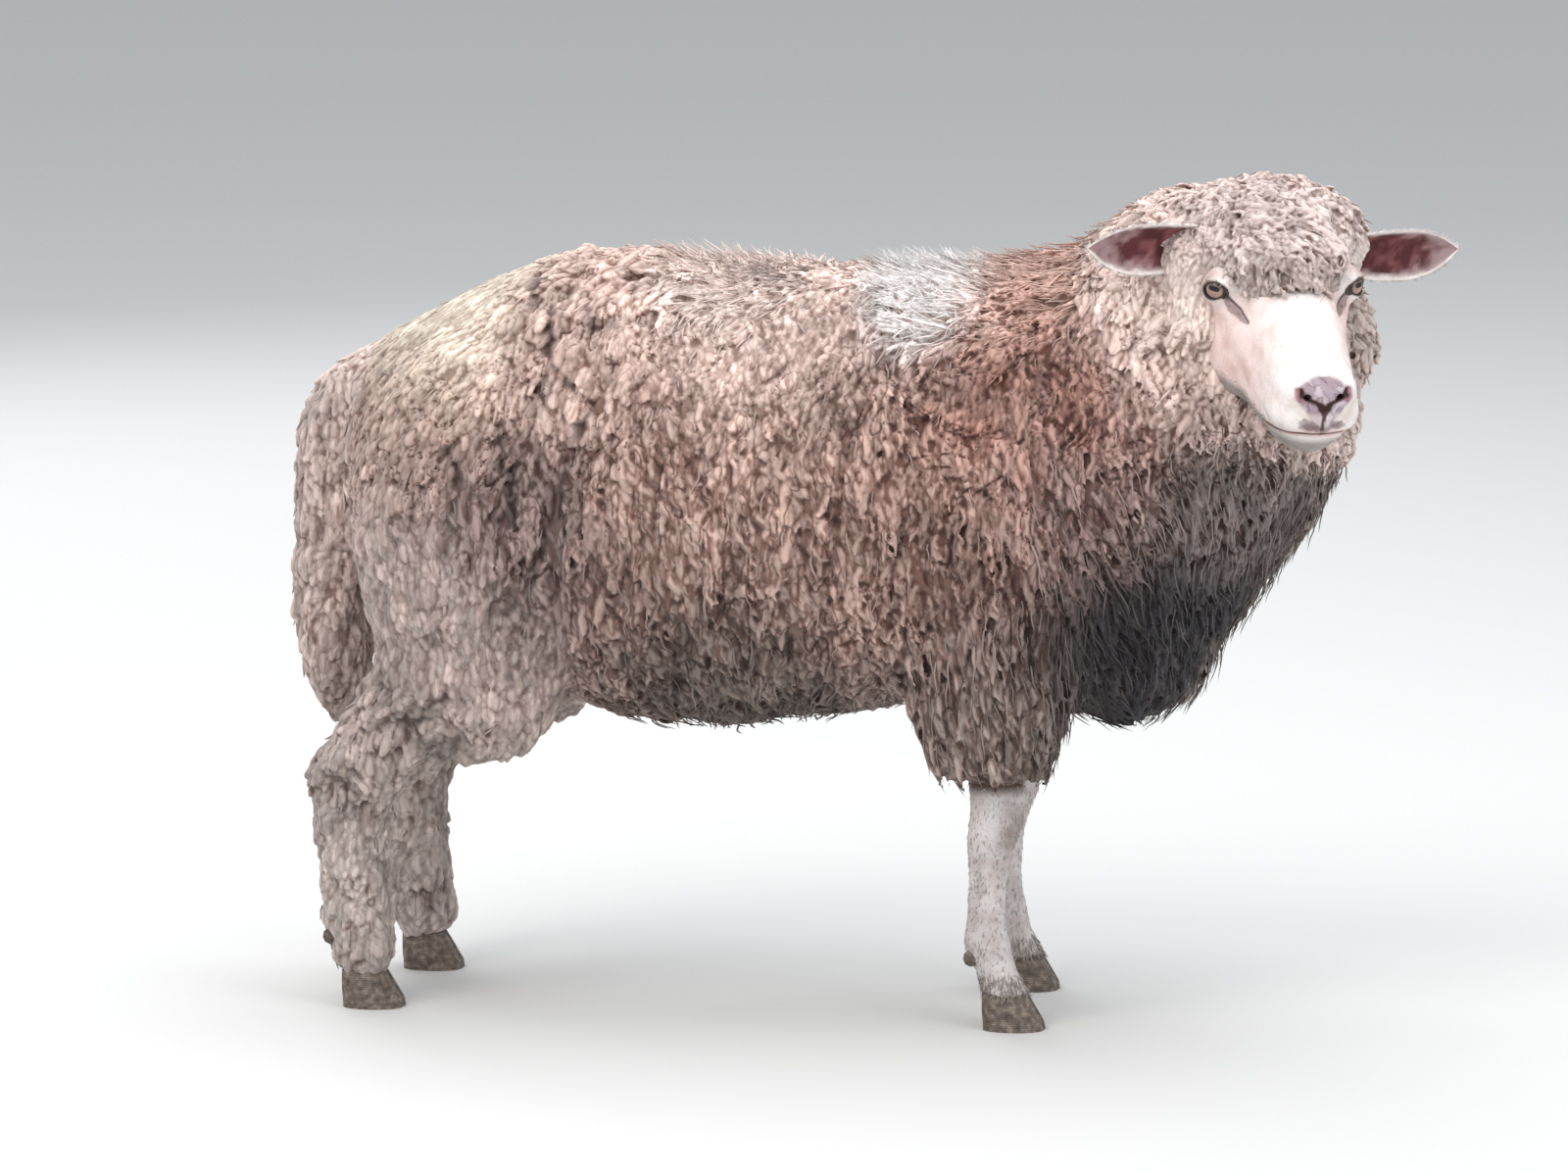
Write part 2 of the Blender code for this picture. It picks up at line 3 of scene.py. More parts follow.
import bmesh
import bpy
import numpy as np
from mathutils import Matrix, Vector
from mathutils.bvhtree import BVHTree
from mathutils.kdtree import KDTree


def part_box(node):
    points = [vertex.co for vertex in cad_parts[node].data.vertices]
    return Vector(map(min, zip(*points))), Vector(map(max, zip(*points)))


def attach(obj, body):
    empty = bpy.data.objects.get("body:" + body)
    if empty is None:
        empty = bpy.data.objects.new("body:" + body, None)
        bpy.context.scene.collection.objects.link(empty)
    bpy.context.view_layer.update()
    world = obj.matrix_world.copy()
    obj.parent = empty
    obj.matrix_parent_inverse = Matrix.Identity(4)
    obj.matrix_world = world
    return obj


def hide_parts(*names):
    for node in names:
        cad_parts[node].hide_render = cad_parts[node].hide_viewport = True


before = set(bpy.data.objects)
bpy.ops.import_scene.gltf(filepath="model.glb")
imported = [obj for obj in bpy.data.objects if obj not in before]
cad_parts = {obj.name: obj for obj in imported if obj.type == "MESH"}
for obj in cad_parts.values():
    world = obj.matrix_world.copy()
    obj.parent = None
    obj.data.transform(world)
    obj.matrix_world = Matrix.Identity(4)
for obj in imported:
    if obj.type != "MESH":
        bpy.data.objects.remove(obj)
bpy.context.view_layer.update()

sheepAt = np.array((0.0108, 0.0307, 0.0))   # the body's own middle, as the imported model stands

# the head's own frame: u forward along the nose, v to its left, w up
head = {
    "at": Vector((0.3843, -0.0293, 0.719)),
    "yaw": math.radians(-67),
    "pitch": math.radians(22),
    "size": 1.05,
}
headTurn = np.array(
    (Matrix.Rotation(head["yaw"], 3, "Z") @ Matrix.Rotation(head["pitch"], 3, "Y"))
)


headMiddle = (0.0, 0, -0.03)      # in the head's frame, as the muzzle's middle is
muzzleMiddle = (0.15, 0, -0.02)


def toHead(points):
    return (points - np.array(head["at"])) @ headTurn / head["size"]


def fromHead(points):
    return np.asarray(points) * head["size"] @ headTurn.T + np.array(head["at"])


def step(a, b, x):
    t = np.clip((x - a) / (b - a), 0.0, 1.0)
    return t * t * (3 - 2 * t)


def mixed(a, b, t):
    return a * (1 - t) + b * t


def unit(v):
    return v / np.maximum(np.linalg.norm(v, axis=-1, keepdims=True), 1e-9)


def softMin(a, b, k):
    h = np.clip(0.5 + 0.5 * (b - a) / k, 0, 1)
    return b + (a - b) * h - k * h * (1 - h)


def softMax(a, b, k):
    return -softMin(-a, -b, k)


def farFrom(points, at):
    return np.linalg.norm(points - at, axis=1)


def eased(rows, steps):
    # rows with more between them, on a smooth curve through all of them
    rows = np.asarray(rows, float)
    made = []
    last = len(rows) - 1
    for i in range(last):
        a, b, c, d = (rows[max(0, min(last, i + k))] for k in (-1, 0, 1, 2))
        for t in np.linspace(0, 1, steps, endpoint=False):
            made.append(0.5 * (2 * b + (c - a) * t + (2 * a - 5 * b + 4 * c - d) * t * t
                               + (3 * b - a - 3 * c + d) * t ** 3))
    made.append(rows[-1])
    return np.array(made)


def cloud(points, size, seed, octaves=2):
    # a soft noise from random values on a lattice, about -1 to 1
    total = np.zeros(len(points))
    share = 1.0
    for octave in range(octaves):
        q = points / size + 17.3 * (seed + octave)
        low = np.floor(q).astype(np.int64)
        f = q - low
        f = f * f * (3 - 2 * f)
        for i in (0, 1):
            for j in (0, 1):
                for k in (0, 1):
                    n = ((low[:, 0] + i) * 73856093 ^ (low[:, 1] + j) * 19349663
                         ^ (low[:, 2] + k) * 83492791 ^ seed * 2654435761)
                    n = (n ^ (n >> 13)) * 1274126177 & 0x7fffffff
                    value = (n >> 7 & 0xffff) / 32767.5 - 1
                    total += share * value * (f[:, 0] if i else 1 - f[:, 0]) * (
                        f[:, 1] if j else 1 - f[:, 1]) * (f[:, 2] if k else 1 - f[:, 2])
        size *= 0.5
        share *= 0.5
    return 1.5 * total


def addMesh(name, verts, faces):
    # faces: a list of index arrays, each (count, corners)
    mesh = bpy.data.meshes.new(name)
    mesh.vertices.add(len(verts))
    mesh.vertices.foreach_set("co", np.asarray(verts, np.float32).ravel())
    corners = np.concatenate([f.ravel() for f in faces]).astype(np.int32)
    sizes = np.concatenate([np.full(len(f), f.shape[1], np.int32) for f in faces])
    starts = np.concatenate(([0], np.cumsum(sizes)[:-1])).astype(np.int32)
    mesh.loops.add(len(corners))
    mesh.loops.foreach_set("vertex_index", corners)
    mesh.polygons.add(len(sizes))
    mesh.polygons.foreach_set("loop_start", starts)
    mesh.update(calc_edges=True)
    mesh.validate()
    mesh.shade_smooth()
    made = bpy.data.objects.new(name, mesh)
    bpy.context.scene.collection.objects.link(made)
    return made


def paint(obj, name, values):
    # one colour or number for each vertex
    values = np.asarray(values, np.float32)
    if values.ndim == 1:
        obj.data.attributes.new(name, "FLOAT", "POINT").data.foreach_set("value", values)
    elif values.shape[1] == 3 and name == "strand":
        layer = obj.data.attributes.new(name, "FLOAT_VECTOR", "POINT")
        layer.data.foreach_set("vector", values.ravel())
    else:
        full = np.ones((len(values), 4), np.float32)
        full[:, :3] = values
        layer = obj.data.attributes.new(name, "FLOAT_COLOR", "POINT")
        layer.data.foreach_set("color", full.ravel())


def fetched(items, field, wide=1, kind=np.float32):
    values = np.empty(len(items) * wide, kind)
    items.foreach_get(field, values)
    return values.reshape(-1, wide) if wide > 1 else values


def arraysOf(mesh):
    mesh.calc_loop_triangles()
    return (fetched(mesh.vertices, "co", 3).astype(float),
            fetched(mesh.vertices, "normal", 3).astype(float),
            fetched(mesh.loop_triangles, "vertices", 3, np.int32))


def inBmesh(mesh, change):
    bm = bmesh.new()
    bm.from_mesh(mesh)
    change(bm)
    bm.to_mesh(mesh)
    bm.free()


def blended(name, mesh, voxel, rounds):
    # an object whose modifiers melt the mesh into one surface and ease it
    holder = bpy.data.objects.new(name, mesh)
    bpy.context.scene.collection.objects.link(holder)
    remesh = holder.modifiers.new("blend", "REMESH")
    remesh.mode = "VOXEL"
    remesh.voxel_size = voxel
    smooth = holder.modifiers.new("ease", "SMOOTH")
    smooth.factor = 0.5
    smooth.iterations = rounds
    return holder


def withModifiers(holder):
    # its mesh with the modifiers done; the object itself goes
    graph = bpy.context.evaluated_depsgraph_get()
    mesh = bpy.data.meshes.new_from_object(holder.evaluated_get(graph))
    bpy.data.objects.remove(holder)
    return mesh


def tubeQuads(rows, count, upward=True):
    # the faces between rings of count points each
    base = np.arange(rows - 1)[:, None] * count
    k = np.arange(count)[None, :]
    nxt = (k + 1) % count
    corners = [base + k, base + count + k, base + count + nxt, base + nxt]
    return np.stack(corners if upward else corners[:1] + corners[:0:-1], -1).reshape(-1, 4)


def treeOf(points):
    tree = KDTree(len(points))
    for i, p in enumerate(points):
        tree.insert(p, i)
    tree.balance()
    return tree


# the outline of the fleece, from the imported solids

fleece = {
    "voxel": 0.0075,
    "ease": 5,
    "nodes": (
        "head", "neck", "forequarters", "barrel", "hindquarters", "tail",
        "foreleg_right", "foreleg_left", "foreshank_right", "foreshank_left",
        "hindleg_right", "hindleg_left", "hindshank_right", "hindshank_left",
    ),
}


def fleeceOutline():
    bm = bmesh.new()
    for name in fleece["nodes"]:
        bm.from_mesh(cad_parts[name].data)
    rough = bpy.data.meshes.new("outline")
    bm.to_mesh(rough)
    bm.free()
    mesh = withModifiers(blended("outline", rough, fleece["voxel"], fleece["ease"]))
    points, normals, tris = arraysOf(mesh)
    return points, normals, fetched(mesh.polygons, "vertices", 4, np.int32), tris


outline, outlineNormals, outlineQuads, outlineTris = fleeceOutline()
print("outline of the fleece:", len(outlineQuads), "faces")


# how deep the coat is, and where it ends

bareFace = {"eyeLine": 0.018, "forelock": 0.093, "jaw": 0.070, "soft": 0.004}
ruff = {"roll": 0.017, "temple": 0.016}     # how far it thins, and how much less at the temple


def bareShare(points):
    # 1 on the bare face, 0 under the wool; a point is given in the head's frame
    u, v, w = points[:, 0], np.abs(points[:, 1]), points[:, 2]
    edge = (bareFace["eyeLine"]
            + bareFace["forelock"] * step(0.015, 0.034, w) * (1 - step(0.050, 0.068, v))
            + bareFace["jaw"] * step(0.066, 0.092, -w))
    soft = bareFace["soft"]
    return step(-soft, soft, u - edge) * step(0.090, 0.080, np.hypot(v, w + 0.022))


def segmentDistance(points, a, b):
    a, b = np.array(a), np.array(b)
    h = np.clip((points - a) @ (b - a) / ((b - a) @ (b - a)), 0, 1)
    return np.linalg.norm(points - a - h[:, None] * (b - a), axis=1)


def templeShare(points):
    # the smooth short-haired ground behind and below each eye
    local = toHead(points)
    folded = np.stack([local[:, 0], np.abs(local[:, 1]), local[:, 2]], 1)
    return step(0.032, 0.016,
                segmentDistance(folded, (0.026, 0.078, 0.018), (0.046, 0.076, -0.026)))


def edgeRoll(points):
    # how far the ruff thins towards the bare cheek
    local = toHead(points)
    u, a, w = local[:, 0], np.abs(local[:, 1]), local[:, 2]
    edge = bareFace["eyeLine"] + bareFace["jaw"] * step(0.066, 0.092, -w)
    roll = ruff["roll"] - ruff["temple"] * templeShare(points)
    roll = roll * (1 - step(-0.002, 0.034, edge - u))
    roll = roll * step(0.034, 0.060, a) * step(0.040, 0.010, w) * step(-0.135, -0.105, w)
    return roll * step(0.13, 0.10, farFrom(local, (0.03, 0, -0.03)))


def bodyPlace(points):
    p = points - sheepAt
    return p[:, 0], p[:, 1], p[:, 2]


coatDeep = {"body": 0.023, "foreArm": 0.016, "foreShank": 0.0012, "hindLeg": 0.013,
            "tail": 0.019, "head": 0.017}


def coatDepth(points):
    x, y, z = bodyPlace(points)
    local = toHead(points)
    depth = coatDeep["body"]
    for part, share in (
        ("foreArm", (x > 0.0) * step(0.30, 0.25, z)),
        ("foreShank", (x > 0.0) * step(0.231, 0.219, z)),
        ("hindLeg", (x < -0.28) * step(0.32, 0.22, z)),
        ("tail", step(-0.485, -0.500, x) * (np.abs(y) < 0.06)),
        ("head", step(0.16, 0.11, farFrom(local, (0.02, 0, -0.01)))),
    ):
        depth = mixed(depth, coatDeep[part], share)
    return depth


# the bare head as one field, then as a fine mesh

skull = np.array((
    # along, top, widest level, underside, half width, fullness
    (-0.085, 0.000, -0.020, -0.045, 0.012, 2.0),
    (-0.070, 0.015, -0.020, -0.060, 0.034, 2.0),
    (-0.040, 0.034, -0.008, -0.080, 0.050, 2.1),
    (0.000, 0.043, 0.000, -0.088, 0.057, 2.2),
    (0.040, 0.047, -0.004, -0.088, 0.0580, 2.2),
    (0.070, 0.0435, -0.018, -0.085, 0.0540, 2.2),
    (0.100, 0.0350, -0.029, -0.082, 0.0470, 2.5),
    (0.130, 0.0250, -0.033, -0.080, 0.0425, 2.9),
    (0.158, 0.0160, -0.032, -0.077, 0.0392, 2.8),
    (0.182, 0.0080, -0.028, -0.068, 0.0352, 2.5),
    (0.199, -0.0015, -0.026, -0.058, 0.0300, 2.3),
    (0.209, -0.0120, -0.028, -0.047, 0.0190, 2.0),
    (0.2125, -0.0200, -0.028, -0.036, 0.0060, 2.0),
))

eyes = {
    "radius": 0.0138 / head["size"],
    "at": tuple(toHead(0.5 * np.array([np.add(*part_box("eye_left"))]))[0]),
    "looks": (0.66, 0.74, 0.10), "gaze": (0.74, 0.64, 0.20),
    "halfWide": 0.0104, "halfHigh": 0.0074, "tilt": math.radians(-20),
    "lid": 0.0024,
}
muzzle = {
    # the mouth line: along, height, from its corner to the front
    "mouth": ((0.144, -0.0595), (0.160, -0.0588), (0.177, -0.0555), (0.192, -0.0500),
              (0.205, -0.0458), (0.220, -0.0440)),
    "mouthHalf": 0.0010, "mouthDepth": 0.0065,
    "nostril": (((0.2000, 0.0240, -0.0050), 0.0010), ((0.2050, 0.0195, -0.0070), 0.0021),
                ((0.2085, 0.0135, -0.0115), 0.0027), ((0.2105, 0.0080, -0.0175), 0.0020),
                ((0.2110, 0.0035, -0.0225), 0.0008)),
}

grid = {
    "u": ((-0.105, 0.020, 0.0040), (0.020, 0.2166, 0.00125)),
    "v": ((-0.1100, -0.0780, 0.0040), (-0.0780, 0.0780, 0.00125), (0.0780, 0.1020, 0.0040)),
    "w": ((-0.2100, -0.1000, 0.0040), (-0.1000, 0.0640, 0.00125)),
}


def gridLine(spans):
    parts = [np.arange(a, b - 1e-6, s) for a, b, s in spans]
    return np.concatenate(parts + [[spans[-1][1]]])


def eyeAxes():
    # ahead of the eye, along it to the back of the head, and up
    e = unit(np.array(eyes["looks"]))
    side = unit(np.cross((0, 0, 1.0), e))
    up = np.cross(e, side)
    c, s = math.cos(eyes["tilt"]), math.sin(eyes["tilt"])
    return e, c * side + s * up, -s * side + c * up


class HeadField:
    # signed distances on a grid, negative inside; twins across v come from |v|
    def __init__(self):
        u, v, w = (gridLine(grid[k]) for k in "uvw")
        self.lines = (u, v, w)
        self.u = u[:, None, None].astype(np.float32)
        self.v = v[None, :, None].astype(np.float32)
        self.a = np.abs(self.v)
        self.w = w[None, None, :].astype(np.float32)

    def ellipsoid(self, at, half, turn=0.0):
        du, dw = self.u - at[0], self.w - at[2]
        if turn:
            c, s = math.cos(turn), math.sin(turn)
            du, dw = c * du + s * dw, -s * du + c * dw
        du, dv, dw = du / half[0], (self.a - at[1]) / half[1], dw / half[2]
        k0 = np.sqrt(du * du + dv * dv + dw * dw)
        k1 = np.sqrt((du / half[0]) ** 2 + (dv / half[1]) ** 2 + (dw / half[2]) ** 2)
        return k0 * (k0 - 1) / np.maximum(k1, 1e-6)

    def capsule(self, a, b, ra, rb, twin=True):
        y = self.a if twin else self.v
        a, b = np.array(a), np.array(b)
        ab = b - a
        pu, pv, pw = self.u - a[0], y - a[1], self.w - a[2]
        h = np.clip((pu * ab[0] + pv * ab[1] + pw * ab[2]) / (ab @ ab), 0, 1)
        d = np.sqrt((pu - h * ab[0]) ** 2 + (pv - h * ab[1]) ** 2 + (pw - h * ab[2]) ** 2)
        return d - (ra + (rb - ra) * h)

    def loft(self, rows):
        rows = eased(rows, 8)
        u = self.lines[0]
        top, level, low, half, full = (
            np.interp(u, rows[:, 0], rows[:, k])[:, None, None].astype(np.float32)
            for k in range(1, 6)
        )
        dw = self.w - level
        tall = np.where(dw > 0, top - level, level - low)
        x, z = self.a / half, np.abs(dw) / tall
        rho = (x ** full + z ** full) ** (1 / full)
        slope = np.sqrt((x / half) ** 2 + (z / tall) ** 2) / np.maximum(rho, 1e-4)
        d = (rho - 1) / np.maximum(slope, 1e-4)
        return np.maximum(d, np.maximum(rows[0, 0] - self.u, self.u - rows[-1, 0]))

    def eyeOpening(self):
        at = eyes["at"]
        e, side, up = eyeAxes()
        du, dv, dw = self.u - at[0], self.a - at[1], self.w - at[2]
        ahead = du * e[0] + dv * e[1] + dw * e[2]
        x = du * side[0] + dv * side[1] + dw * side[2]
        y = du * up[0] + dv * up[1] + dw * up[2]
        a, h = eyes["halfWide"], eyes["halfHigh"]
        arc = (a * a + h * h) / (2 * h)
        k = arc - h
        almond = np.maximum(np.sqrt(x * x + (y + k) ** 2), np.sqrt(x * x + (y - k) ** 2)) - arc
        return np.maximum(almond, 0.003 - ahead)


def mouthLevel(u, a):
    line = np.array(muzzle["mouth"])
    return np.interp(u, line[:, 0], line[:, 1]) - 0.8 * a * a


def headField():
    f = HeadField()
    d = f.loft(skull)
    at, r = eyes["at"], eyes["radius"]
    for form, k in (
        (f.ellipsoid((0.046, 0.0470, 0.019), (0.024, 0.0185, 0.0200)), 0.012),      # orbit
        (f.capsule((0.028, 0.038, 0.034), (0.060, 0.048, 0.035), 0.009, 0.0065), 0.012),
        (f.capsule((0.070, 0.048, 0.002), (0.010, 0.057, -0.010), 0.007, 0.009), 0.014),
        (f.ellipsoid((0.048, 0.029, -0.047), (0.050, 0.028, 0.039)), 0.018),        # jaw
        (f.capsule((0.080, 0.040, -0.012), (0.128, 0.035, -0.028), 0.0065, 0.005), 0.014),
        (f.ellipsoid((0.178, 0.0185, -0.036), (0.0300, 0.0215, 0.0170)), 0.008),    # upper lip
        (f.ellipsoid((0.188, 0.0185, -0.014), (0.0180, 0.0140, 0.0145)), 0.008),    # nose wing
        (f.ellipsoid((0.163, 0.0, -0.0625), (0.0390, 0.0325, 0.0125), turn=0.16), 0.006),
        (f.ellipsoid((0.164, 0.0, -0.0690), (0.0260, 0.0230, 0.0120)), 0.010),      # chin
        (f.ellipsoid(at, (r + eyes["lid"],) * 3), 0.007),                           # lids
        (f.capsule((0.045, 0.0, -0.040), (-0.035, -0.012, -0.100), 0.050, 0.088, False), 0.03),
        (f.capsule((-0.035, -0.012, -0.100), (-0.060, -0.020, -0.200), 0.088, 0.094, False), 0.03),
    ):
        d = softMin(d, form, k)
    # the hollow before the eye, and the tear groove that runs down the cheek
    d = softMax(d, -f.ellipsoid((0.092, 0.053, 0.016), (0.022, 0.0105, 0.014)), 0.012)
    d = softMax(d, -f.capsule((0.0705, 0.0575, 0.0130), (0.0980, 0.0455, 0.0030), 0.0012, 0.0020),
                0.004)
    # a fold over the upper lid
    e, side, up = eyeAxes()
    arc = [np.array(at) + e * (r + 0.0010) * math.cos(t) + side * 0.0150 * math.sin(t * 1.1)
           + up * (0.0125 - 0.0050 * t * t) for t in (-0.85, -0.4, 0.0, 0.4, 0.85)]
    for a, b in zip(arc, arc[1:]):
        d = softMax(d, -f.capsule(a, b, 0.0005, 0.0005), 0.0030)
    d = softMax(d, -f.eyeOpening(), 0.0016)
    lines = muzzle["nostril"]
    for (a, ra), (b, rb) in zip(lines, lines[1:]):
        d = softMax(d, -f.capsule(a, b, ra, rb), 0.0024)
    inward = f.capsule((0.2050, 0.0145, -0.0120), (0.1880, 0.0120, -0.0110), 0.0034, 0.0026)
    d = softMax(d, -inward, 0.002)
    d = softMax(d, -f.capsule((0.2135, 0.0, -0.0225), (0.2120, 0.0, -0.0440), 0.0011, 0.0011),
                0.0030)
    # the mouth: a thin sheet that sinks towards its corners
    corner = muzzle["mouth"][0][0]
    slit = np.maximum(np.abs(f.w - mouthLevel(f.u, f.a)) - muzzle["mouthHalf"],
                      -(d + muzzle["mouthDepth"] * step(corner, corner + 0.03, f.u) + 0.0005))
    slit = np.maximum(slit, corner - f.u)
    d = softMax(d, -slit, 0.0022)
    return f, d


def netOf(lines, d):
    # surface nets: one vertex in each cell that the surface crosses
    inside = d < 0
    n = np.array(d.shape) - 1
    cells = np.zeros(tuple(n), np.int8)
    for i in (0, 1):
        for j in (0, 1):
            for k in (0, 1):
                cells += inside[i:i + n[0], j:j + n[1], k:k + n[2]]
    live = (cells > 0) & (cells < 8)
    index = np.full(tuple(n), -1, np.int64)
    where = np.argwhere(live)
    index[live] = np.arange(len(where))
    total = np.zeros((len(where), 3))
    count = np.zeros(len(where))
    corner = [np.array((i, j, k)) for i in (0, 1) for j in (0, 1) for k in (0, 1)]
    at = [lines[k] for k in range(3)]
    for a in corner:
        for axis in range(3):
            if a[axis]:
                continue
            b = a.copy()
            b[axis] = 1
            ia, ib = where + a, where + b
            da, db = d[tuple(ia.T)].astype(float), d[tuple(ib.T)].astype(float)
            cross = (da < 0) != (db < 0)
            t = np.where(cross, da / np.where(cross, da - db, 1), 0)[:, None]
            pa = np.stack([at[k][ia[:, k]] for k in range(3)], 1)
            pb = np.stack([at[k][ib[:, k]] for k in range(3)], 1)
            total += np.where(cross[:, None], pa + (pb - pa) * t, 0)
            count += cross
    points = total / count[:, None]
    quads = []
    for axis in range(3):
        lo, hi = [slice(None)] * 3, [slice(None)] * 3
        lo[axis], hi[axis] = slice(None, -1), slice(1, None)
        flips = inside[tuple(lo)] != inside[tuple(hi)]
        edge = np.argwhere(flips)
        b, c = (axis + 1) % 3, (axis + 2) % 3
        ok = (edge[:, b] > 0) & (edge[:, c] > 0) & (edge[:, b] < n[b]) & (edge[:, c] < n[c])
        edge = edge[ok]
        out = inside[tuple(edge.T)]
        quad = []
        for sb, sc in ((1, 1), (0, 1), (0, 0), (1, 0)):
            cell = edge.copy()
            cell[:, b] -= sb
            cell[:, c] -= sc
            quad.append(index[tuple(cell.T)])
        quad = np.stack(quad, 1)
        quads.append(np.where(out[:, None], quad, quad[:, ::-1]))
    return points, np.concatenate(quads)


def fineHead():
    f, d = headField()
    points, quads = netOf(f.lines, d)
    fine = addMesh("fine", fromHead(points), [quads])
    group = fine.vertex_groups.new(name="hidden")
    hidden = np.flatnonzero(bareShare(points) < 0.5)
    group.add(hidden.tolist(), 1.0, "REPLACE")
    thin = fine.modifiers.new("thin", "DECIMATE")
    thin.ratio = 0.46
    thin.vertex_group = "hidden"
    thin.vertex_group_factor = 10
    points, _, tris = arraysOf(withModifiers(fine))
    return points, tris


# the bare lower forelegs, with knee, tendon, fetlock and pastern

shank = {
    "top": 0.250, "overlap": 0.008, "x": {-1: 0.123, 1: 0.110}, "y": 0.095,
    # height, ahead, half length, half width
    "rings": (
        (0.250, 0.004, 0.0265, 0.0250), (0.232, 0.005, 0.0262, 0.0243),
        (0.216, 0.006, 0.0256, 0.0232), (0.203, 0.005, 0.0252, 0.0226),
        (0.190, 0.003, 0.0243, 0.0221), (0.176, 0.000, 0.0226, 0.0205),
        (0.158, -0.002, 0.0192, 0.0172), (0.138, -0.003, 0.0178, 0.0156),
        (0.115, -0.004, 0.0178, 0.0156), (0.097, -0.004, 0.0192, 0.0170),
        (0.080, -0.003, 0.0217, 0.0188), (0.066, 0.001, 0.0205, 0.0184),
        (0.054, 0.006, 0.0195, 0.0184), (0.042, 0.011, 0.0205, 0.0200),
        (0.034, 0.014, 0.0212, 0.0212), (0.030, 0.014, 0.0180, 0.0185),
    ),
}


def lowerForeleg(side):
    rows = eased(shank["rings"], 6)
    sides = 44
    turn = np.linspace(0, 2 * math.pi, sides, endpoint=False)
    rings = []
    for z, ahead, halfLong, halfWide in rows:
        c, s = np.cos(turn), np.sin(turn)
        # a groove before the tendon at the back of the cannon, flat knee front
        cannon = step(0.185, 0.150, z) * step(0.085, 0.105, z)
        groove = 1 - 0.13 * cannon * np.exp(-((np.abs(turn - math.pi) - 0.95) / 0.24) ** 2)
        knee = 1 + 0.05 * math.exp(-((z - 0.197) / 0.012) ** 2) * np.maximum(c, 0) ** 3
        x = sheepAt[0] + shank["x"][side] + ahead + halfLong * c * groove * knee
        y = sheepAt[1] + side * shank["y"] + halfWide * s * groove
        rings.append(np.stack([x, y, np.full(sides, z)], 1))
    points = np.concatenate(rings)
    quads = tubeQuads(len(rows), sides)
    middle = len(points)
    points = np.vstack([points, points[-sides:].mean(0)])
    last = (len(rows) - 1) * sides + np.arange(sides)
    cap = np.stack([last, np.full(sides, middle), np.roll(last, -1)], 1)
    return points, quads, cap, np.arange(sides)


# ears

ears = {
    "length": 0.118, "half": 0.0290, "cup": 0.022, "wall": 0.0034,
    # root in the head's frame, turned forward and drooped by these degrees
    -1: ((0.006, 0.054, 0.034), 5, -2),
    1: ((0.004, 0.062, 0.018), -4, 1),
}


def earBreadth(s):
    low = 0.66 + 0.34 * np.sin(math.pi * np.minimum(s, 0.45) / 0.90)
    high = np.maximum(0.02, 1.0 - (np.maximum(s - 0.45, 0) / 0.552) ** 2) ** 0.78
    return np.where(s < 0.45, low, high)


def earSurface(side, s, t, lift):
    # s runs along the ear, t across it from -1 to 1; lift is off the middle of the wall
    base, sweep, droop = ears[side]
    sweep, droop = math.radians(sweep), math.radians(droop)
    half = ears["half"] * earBreadth(s)
    bend = 1.00 - 0.35 * s                       # how far the edges curl forward
    arc = half / bend
    a = t * bend
    u = base[0] + s * ears["length"] * math.sin(sweep) + arc * (1 - np.cos(a)) * 1.15
    u = u - 0.5 * ears["cup"] * (1 - 0.8 * s) - lift * np.cos(a)
    w = base[2] - s * ears["length"] * math.sin(droop) + (arc + lift) * np.sin(a)
    v = np.full(len(t), base[1] + s * ears["length"] * math.cos(sweep) * math.cos(droop))
    w = w + 0.0016 * np.sin(9 * s + 2.0 * t) * s
    return np.stack([u, v * side, w], -1)


def ear(side):
    rings, steps = 46, 17
    s = np.linspace(0, 1, rings) ** 0.92
    # once round the section: inner face from edge to edge, then outer face back
    front = np.sin(np.linspace(-math.pi / 2, math.pi / 2, steps + 1))
    back = front[::-1][1:-1]
    rows = []
    for value in s:
        thick = 0.5 * ears["wall"] * (1.25 - 0.6 * value)
        inner = earSurface(side, value, front, -thick * np.sqrt(np.maximum(0, 1 - front ** 4)))
        outer = earSurface(side, value, back,
                           thick * np.sqrt(np.maximum(0, 1 - back ** 4)) + 0.0004)
        rows.append(np.vstack([inner, outer]))
    count = len(rows[0])
    quads = tubeQuads(rings, count, False)
    if side < 0:
        quads = quads[:, ::-1]
    inside = np.tile(np.repeat((1.0, 0.0), (len(front), len(back))), rings)
    across = np.tile(np.concatenate([front, back]), rings)
    return fromHead(np.concatenate(rows)), quads, inside, np.repeat(s, count), across


# one skin of body, head, lower forelegs and ears

def cutOff(points, faces, at, normal, near=True):
    # keeps the faces below a plane; near limits the cut to a neighbourhood
    gone = ((points - at) @ normal > 0) & near
    return faces[~gone[faces].any(1)]


def rimOf(points, faces, at, reach, least):
    # the longest open rim round a place, in order
    corners = faces.shape[1]
    edges = np.concatenate([faces[:, [i, (i + 1) % corners]] for i in range(corners)])
    both = {tuple(e) for e in edges.tolist()}
    follow = {a: b for a, b in both if (b, a) not in both}
    loops = []
    left = set(follow)
    while left:
        start = left.pop()
        loop = [start]
        here = follow[start]
        while here != start and here in left:
            left.discard(here)
            loop.append(here)
            here = follow[here]
        if len(loop) > least and np.linalg.norm(points[loop].mean(0) - at) < reach:
            loops.append(loop)
    return max(loops, key=len)


